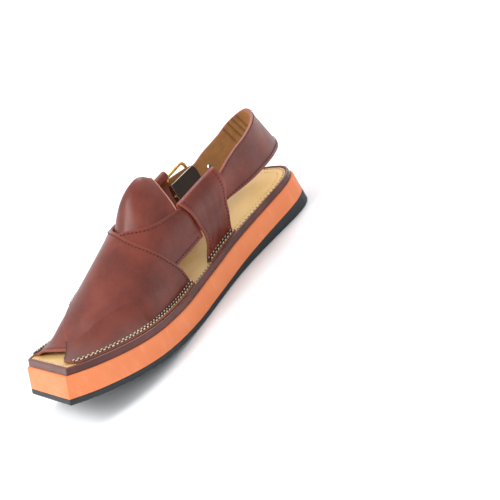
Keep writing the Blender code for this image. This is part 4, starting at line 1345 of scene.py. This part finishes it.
def punch_holes(strap, lines):
    """Cut the strap's round holes and the buckle's slot through the finished mesh."""
    middle = [point for point in lines[len(lines) // 2] if point.y < -0.3 * HEEL_WIDTH]
    bars = [("hole_%d" % number, station, 0.0) for number, station in enumerate(HOLE_STATIONS)]
    bars.append(("slot", BUCKLE_BAR_STATION - 0.55 * BUCKLE_LENGTH, SLOT_STRETCH))
    cutters = []
    for name, station, stretch in bars:
        nearest = min(middle, key=lambda point: abs(point.x - station))
        cutters.append(hole_bar(name, Vector((station, nearest.y, nearest.z)), stretch))
        modifier = strap.modifiers.new("punch_" + name, 'BOOLEAN')
        modifier.operation = 'DIFFERENCE'
        modifier.object = cutters[-1]
    depsgraph = bpy.context.evaluated_depsgraph_get()
    punched = bpy.data.meshes.new_from_object(strap.evaluated_get(depsgraph), preserve_all_data_layers=True,
                                              depsgraph=depsgraph)
    strap.modifiers.clear()
    strap.data = punched
    for cutter in cutters:
        bpy.data.objects.remove(cutter, do_unlink=True)


def add_object(name, data):
    item = bpy.data.objects.new(name, data)
    bpy.context.scene.collection.objects.link(item)
    return item


def hole_bar(name, centre, stretch, sides=28):
    """A bar across the strap, round, or long with round ends where it has a stretch."""
    points = []
    for side in (-BAR_REACH, BAR_REACH):
        for cosine, sine in circle(sides):
            shift = stretch * (1.0 if cosine > 0.0 else -1.0)
            points.append(world((centre.x + shift + HOLE_RADIUS * cosine, centre.y + side,
                                 centre.z + HOLE_RADIUS * sine)))
    mesh = bpy.data.meshes.new(name)
    faces = [tuple(range(sides)), tuple(range(2 * sides - 1, sides - 1, -1))] + ring_faces(0, 2, sides)
    mesh.from_pydata(points, [], faces)
    work = bmesh.new()
    work.from_mesh(mesh)
    bmesh.ops.recalc_face_normals(work, faces=work.faces)
    work.to_mesh(mesh)
    work.free()
    return add_object(name, mesh)


def buckle_place(share, up):
    """Point of the buckle's frame: share from the fixed bar to the free one, up from its middle."""
    s = BUCKLE_BAR_STATION - BUCKLE_LENGTH * share
    bow = -BUCKLE_BOW * math.sin(math.pi * share)
    return Vector((s, BUCKLE_SIDE + BUCKLE_LEAN * share + bow, BUCKLE_CENTRE + up))


def round_tube(name, route, radius, material, closed, sides=18):
    """A round bar along a smooth route of s, m, z places."""
    places = [world(point) for point in route]
    count = len(places)
    points = []
    for index, place in enumerate(places):
        ahead = places[(index + 1) % count] if closed or index < count - 1 else place
        behind = places[index - 1] if closed or index > 0 else place
        direction = (ahead - behind).normalized()
        reference = Vector((0.0, 1.0, 0.0)) if closed else Vector((0.0, 0.0, 1.0))
        across = direction.cross(reference).normalized()
        upward = across.cross(direction).normalized()
        points += [place + radius * (cosine * across + sine * upward) for cosine, sine in circle(sides)]
    faces = ring_faces(0, count, sides, closed)
    if not closed:
        for index, neighbour in ((0, 1), (count - 1, count - 2)):
            outward = (places[index] - places[neighbour]).normalized()
            tip = len(points)
            points.append(places[index] + outward * radius * 0.7)
            for side in range(sides):
                faces.append((index * sides + side, index * sides + (side + 1) % sides, tip))
    return make_piece(name, points, faces, [material])


def make_buckle(looks):
    """The brass frame with its rounded corners, and the prong that hooks round its fixed bar."""
    up = 0.5 * BUCKLE_HEIGHT - BUCKLE_CORNER
    near, far = 1 - BUCKLE_CORNER_SHARE, BUCKLE_CORNER_SHARE
    route = []
    for quarter, (share, height) in enumerate(((near, up), (far, up), (far, -up), (near, -up))):
        for step in range(13):
            angle = math.radians(90.0 * quarter + 7.5 * step)
            route.append(buckle_place(share + BUCKLE_CORNER_SHARE * math.cos(angle),
                                      height + BUCKLE_CORNER * math.sin(angle)))
    frame_piece = round_tube("buckle_brass_frame", route, WIRE_RADIUS, looks["brass"], True)
    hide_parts("buckle_frame")
    bar, free = buckle_place(0.0, 0.0), buckle_place(1.0, 0.0)
    clear = WIRE_RADIUS + FIT_GAP + PRONG_RADIUS
    angles = [math.radians(210.0 + 30.0 * step) for step in range(9)]
    corners = [bar + clear * Vector((math.cos(angle), math.sin(angle), 0.0)) for angle in angles]
    corners += [bar + Vector((along, sideways, 0.0)) for along, sideways in PRONG_NECK]
    corners += [free + Vector((reach, -clear, 0.0)) for reach in PRONG_REACHES]
    rows = [tuple(point) for point in corners]
    fine = [table_rows_evenly(rows, step / 90.0) for step in range(91)]
    prong = round_tube("buckle_brass_prong", fine, PRONG_RADIUS, looks["brass"], False, 14)
    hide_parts("buckle_prong")


def slot_side(s, z):
    """Middle of the outer side strap's slot at a station and a height."""
    low, high = 0.0, STRAP_TOP
    for _ in range(30):
        middle = 0.5 * (low + high)
        if skin(s, 1.0 - middle).z < z:
            low = middle
        else:
            high = middle
    return skin(s, 1.0 - low).y - 0.5 * (STRAP_SLOT - FIT_GAP)


def make_buckle_tabs(looks, steps=36):
    """The leather loop that holds the buckle's fixed bar, above and below the prong."""
    bar = buckle_place(0.0, 0.0)
    inner_radius = WIRE_RADIUS + FIT_GAP
    half = 0.5 * TAB_HEIGHT
    notch = PRONG_RADIUS + 3.0 * FIT_GAP
    angles = [math.radians(mix(25.0, 335.0, step / steps)) for step in range(steps + 1)]
    arms = [Vector((math.cos(angle), math.sin(angle), 0.0)) for angle in angles]
    for name, low, high in (("buckle_tab_upper", notch, half), ("buckle_tab_lower", -half, -notch)):
        ups = [mix(low, high, share) for share in shares_with_edges(8, 0.03)]
        outside, inside = ([[tuple(bar + arm * radius + up * UP) for up in ups] for arm in arms]
                           for radius in (inner_radius + TAB_LAYER, inner_radius))
        for s in (STRAP_CENTRE - 0.49 * STRAP_LENGTH, bar.x + TAB_TAIL):
            sides = [(slot_side(s, bar.z + up), bar.z + up) for up in ups]
            for line, thin in ((outside, 0.7), (inside, 0.1)):
                line.insert(0, [(s, side + thin * TAB_LAYER, z) for side, z in sides])
                line.append([(s, side - thin * TAB_LAYER, z) for side, z in sides])
        plain = [[0.0] * len(ups)] * len(outside)
        piece = sheet(name + "_leather", outside, inside, plain, plain, looks)
        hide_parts(name)


def make_strap_pad(looks):
    """The dark pad between the buckle and the foot, with its pale cut edge and a rounded rear corner."""
    def cell(up_share, share):
        up = up_share - 0.5
        rounding = 0.0030 * max(0.0, abs(2.0 * up) - 0.55) ** 2 / 0.2
        s = mix(PAD_BACK + rounding, BUCKLE_BAR_STATION + PAD_FRONT, share)
        strap_face = BUCKLE_SIDE + BUCKLE_LEAN + WIRE_RADIUS + 2.0 * FIT_GAP + HEEL_STRAP_THICKNESS
        tab_face = BUCKLE_SIDE + WIRE_RADIUS + TAB_LAYER + 2.0 * FIT_GAP
        m = mix(strap_face + PAD_SWELL, tab_face, ease(share)) + PAD_CLEARANCE
        z = BUCKLE_CENTRE + up * PAD_HEIGHT
        wave = 0.0002 * noise_at((s, m, z), 90.0, 9.0)
        return (s, m, z), (s, m + PAD_THICKNESS + wave, z), 0.0, 0.0

    places = shares_with_edges(20, 0.02), shares_with_edges(30, 0.015)
    piece = sheet("strap_pad_leather", *grids(*places, cell), looks, "pad", "pad", "pale_edge")
    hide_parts("strap_pad")


def sole_path(inner, inset, start, end, lift, steps=200):
    """Path over one side of the insole at an inset from the sole's edge."""
    edge = inner_edge if inner else outer_edge
    path = []
    for step in range(steps + 1):
        s = mix(start, end, step / steps)
        z = insole_top(s) + lift
        path.append((world((raked(s, 0.0, z)[0], edge(s, inset), z)), UP))
    return path


def heel_path(inset, station):
    """Path over the insole round the heel, from a station on its outer side to the same on the inner."""
    rows = [row for row in outline_rows(inset) if row[0] <= station]
    route = [(row[0], row[1]) for row in rows[::-1]] + [(row[0], row[2]) for row in rows[1:]]
    return [(world(raked(s, m, insole_top(s))), UP) for s, m in route]


def make_foot_seams(looks):
    """The black cord along the foot of the leather, between two rows of cream stitches."""
    inner_toe = toe_station(TOE_INNER_SIDE - TOE_SEAM_START, FLANGE_INSET + RUN_END_GAP)
    outer_toe = SOLE_LENGTH * OUTER_PANEL[1][0]
    runs = (("vamp_inner", True, VAMP_REAR - RUN_END_GAP, inner_toe, "upper"),
            ("vamp_outer", False, VAMP_REAR - RUN_END_GAP, outer_toe, "upper"),
            ("side_strap_inner", True, STRAP_REAR + RUN_END_GAP, STRAP_FRONT, "side_strap_inner"),
            ("side_strap_outer", False, STRAP_REAR + RUN_END_GAP, STRAP_FRONT, "side_strap_outer"))
    for name, inner, start, end, slot_name in runs:
        layer = LEATHER if slot_name == "upper" else STRAP_LAYER
        cord = sole_path(inner, CORD_INSET, start, end, FIT_GAP + 0.85 * layer + CORD_LIFT)
        pieces = [strand("%s_cord_%d" % (name, number), cord, CORD_RADIUS, looks["black_cord"],
                         CORD_TWIST, CORD_PITCH, number * math.pi) for number in (0, 1)]
        for title, inset, lift in (("foot", CORD_INSET + CORD_STITCH_GAP, INNER_ROW_LIFT),
                                   ("margin", CORD_INSET - CORD_STITCH_GAP, SEAM_LIFT)):
            row = sole_path(inner, inset, start, end, FIT_GAP + layer + lift)
            pieces.append(stitch_row("%s_%s_seam" % (name, title), row, looks["cream_thread"],
                                     width=FOOT_STITCH_WIDTH, slant=0.25))
            pieces.append(hole_row("%s_%s_holes" % (name, title), row, looks["hole"]))


def make_insole_seams(looks):
    """Cream stitches where the bare insole meets the welt, and a fainter row inside them at the heel."""
    thread, hole = looks["cream_thread"], looks["hole"]
    heel = heel_path(INSOLE_SEAM_INSET, STRAP_REAR)
    second = heel_path(INSOLE_SEAM_INSET + SECOND_SEAM_INSET, SECOND_SEAM_STATION)
    pieces = [stitch_row("insole_heel_seam", heel, thread, width=FOOT_STITCH_WIDTH, slant=0.2),
              hole_row("insole_heel_holes", heel, hole, radius=INSOLE_HOLE_RADIUS),
              stitch_row("insole_heel_second_seam", second, looks["faint_thread"], 0.0034, 0.0021)]
    for name, inner in (("inner", True), ("outer", False)):
        gap = sole_path(inner, INSOLE_SEAM_INSET, STRAP_FRONT, VAMP_REAR, 0.0)
        pieces.append(stitch_row("insole_%s_gap_seam" % name, gap, thread, slant=0.2))
        pieces.append(hole_row("insole_%s_gap_holes" % name, gap, hole, radius=INSOLE_HOLE_RADIUS))
    toe = []
    for step in range(60):
        m = mix(OUTER_PANEL_TOE - 0.001, INNER_PANEL_TOE + 0.002, step / 59.0)
        s = toe_station(m, WELT_INSET + WELT_WIDTH + TOE_SEAM_INSET)
        toe.append((world(raked(s, m, insole_top(s))), UP))
    pieces += [stitch_row("insole_toe_seam", toe, thread, slant=0.2), hole_row("insole_toe_holes", toe, hole)]


def dress_nodes():
    """The CAD nodes whose shape is right get their finish."""
    finishes = (("outsole", outsole_material), ("midsole", midsole_material),
                ("welt", welt_material), ("insole", insole_material))
    for name, finish in finishes:
        node = frame["nodes"][name]
        node = bpy.data.objects[node] if isinstance(node, str) else node
        node.data.materials.clear()
        node.data.materials.append(finish())


def make_floor():
    mesh = bpy.data.meshes.new("floor")
    reach = 14.0
    mesh.from_pydata([(-reach, -reach, 0.0), (reach, -reach, 0.0), (reach, reach, 0.0), (-reach, reach, 0.0)],
                     [], [(0, 1, 2, 3)])
    floor = add_object("floor", mesh)
    mesh.materials.append(new_material("floor_white", FLOOR_WHITE, 0.75))


def make_light(name, place, target, size, power, colour=(1.0, 1.0, 1.0)):
    light = bpy.data.lights.new(name, 'AREA')
    light.shape = 'DISK'
    light.size = size
    light.energy = power
    light.color = colour
    item = add_object(name, light)
    item.location = place
    item.rotation_euler = (Vector(target) - Vector(place)).to_track_quat('-Z', 'Y').to_euler()


def make_lights():
    """Soft studio light: a broad one over the toe's outer side, a cooler fill and a bright surround."""
    middle = (0.0, 0.0, 0.05)
    make_light("soft_key", (-1.1, 0.55, 1.5), middle, 1.3, KEY_POWER, (1.0, 0.985, 0.97))
    make_light("soft_rear", (1.2, 0.5, 1.1), middle, 1.0, REAR_POWER)
    make_light("soft_front", (-0.5, -1.9, 0.8), middle, 1.4, FRONT_POWER)
    make_light("soft_left", (-1.9, 0.2, 0.7), middle, 0.9, LEFT_POWER)
    world_look = bpy.data.worlds.new("studio_surround")
    world_look.use_nodes = True
    surround = world_look.node_tree.nodes["Background"]
    surround.inputs["Color"].default_value = (0.96, 0.98, 1.0, 1.0)
    surround.inputs["Strength"].default_value = SURROUND
    bpy.context.scene.view_settings.view_transform = 'Standard'
    bpy.context.scene.world = world_look


def make_camera():
    """The photograph's view of the shoe: the camera is rolled, because the shoe stands flat here."""
    data = bpy.data.cameras.new("photo_camera")
    data.lens = CAMERA_LENS
    data.sensor_width = 36.0
    data.clip_end = 100.0
    camera = add_object("photo_camera", data)
    right, down, forward = (Vector(direction) for direction in CAMERA_AXES)
    turn = Matrix((right, -down, -forward)).transposed()
    place = Vector((HEEL_X, MIDDLE_Y, 0.0)) + Vector(CAMERA_PLACE)
    camera.matrix_world = Matrix.Translation(place) @ turn.to_4x4()
    bpy.context.scene.camera = camera


def make_looks():
    return {
        "leather": leather_material("leather_red_brown", LEATHER_LIGHT, LEATHER_DARK, 0.36),
        "heel_leather": leather_material("heel_leather_red_brown", LEATHER_LIGHT, LEATHER_DARK, 0.40,
                                         crease_shade_share=0.0),
        "lining": suede_material("lining_tan", LINING_TAN, LINING_DEEP, 0.72),
        "cut_edge": leather_material("cut_edge_highlight_leather", CUT_EDGE_AND_HIGHLIGHT, CUT_EDGE_AND_HIGHLIGHT_DARK, 0.42),
        "tongue_edge": leather_material("tongue_edge_highlight_leather", TONGUE_EDGE_HIGHLIGHT, TONGUE_EDGE_HIGHLIGHT_DARK, 0.42),
        "pale_edge": suede_material("pale_cut_edge", PALE_EDGE, PALE_EDGE_DARK, 0.60),
        "pad": suede_material("pad_dark_brown", PAD_BROWN, PAD_DARK, 0.62),
        "cream_thread": thread_material("thread_cream", THREAD_CREAM, THREAD_CREAM_SHADE),
        "faint_thread": thread_material("thread_tan", THREAD_TAN, THREAD_TAN_SHADE),
        "red_thread": thread_material("thread_dark_red", THREAD_RED, THREAD_RED_SHADE),
        "black_cord": thread_material("cord_black", CORD_BLACK, CORD_GREY),
        "hole": new_material("awl_hole_shade", HOLE_SHADE, 0.9),
        "brass": brass_material(),
    }


def main():
    make_camera()
    make_floor()
    make_lights()
    looks = make_looks()
    dress_nodes()
    make_vamp(looks)
    make_tongue(looks)
    make_side_strap("side_strap_inner", True, looks)
    make_side_strap("side_strap_outer", False, looks)
    make_heel_strap(looks)
    make_buckle(looks)
    make_buckle_tabs(looks)
    make_strap_pad(looks)
    make_foot_seams(looks)
    make_insole_seams(looks)


main()
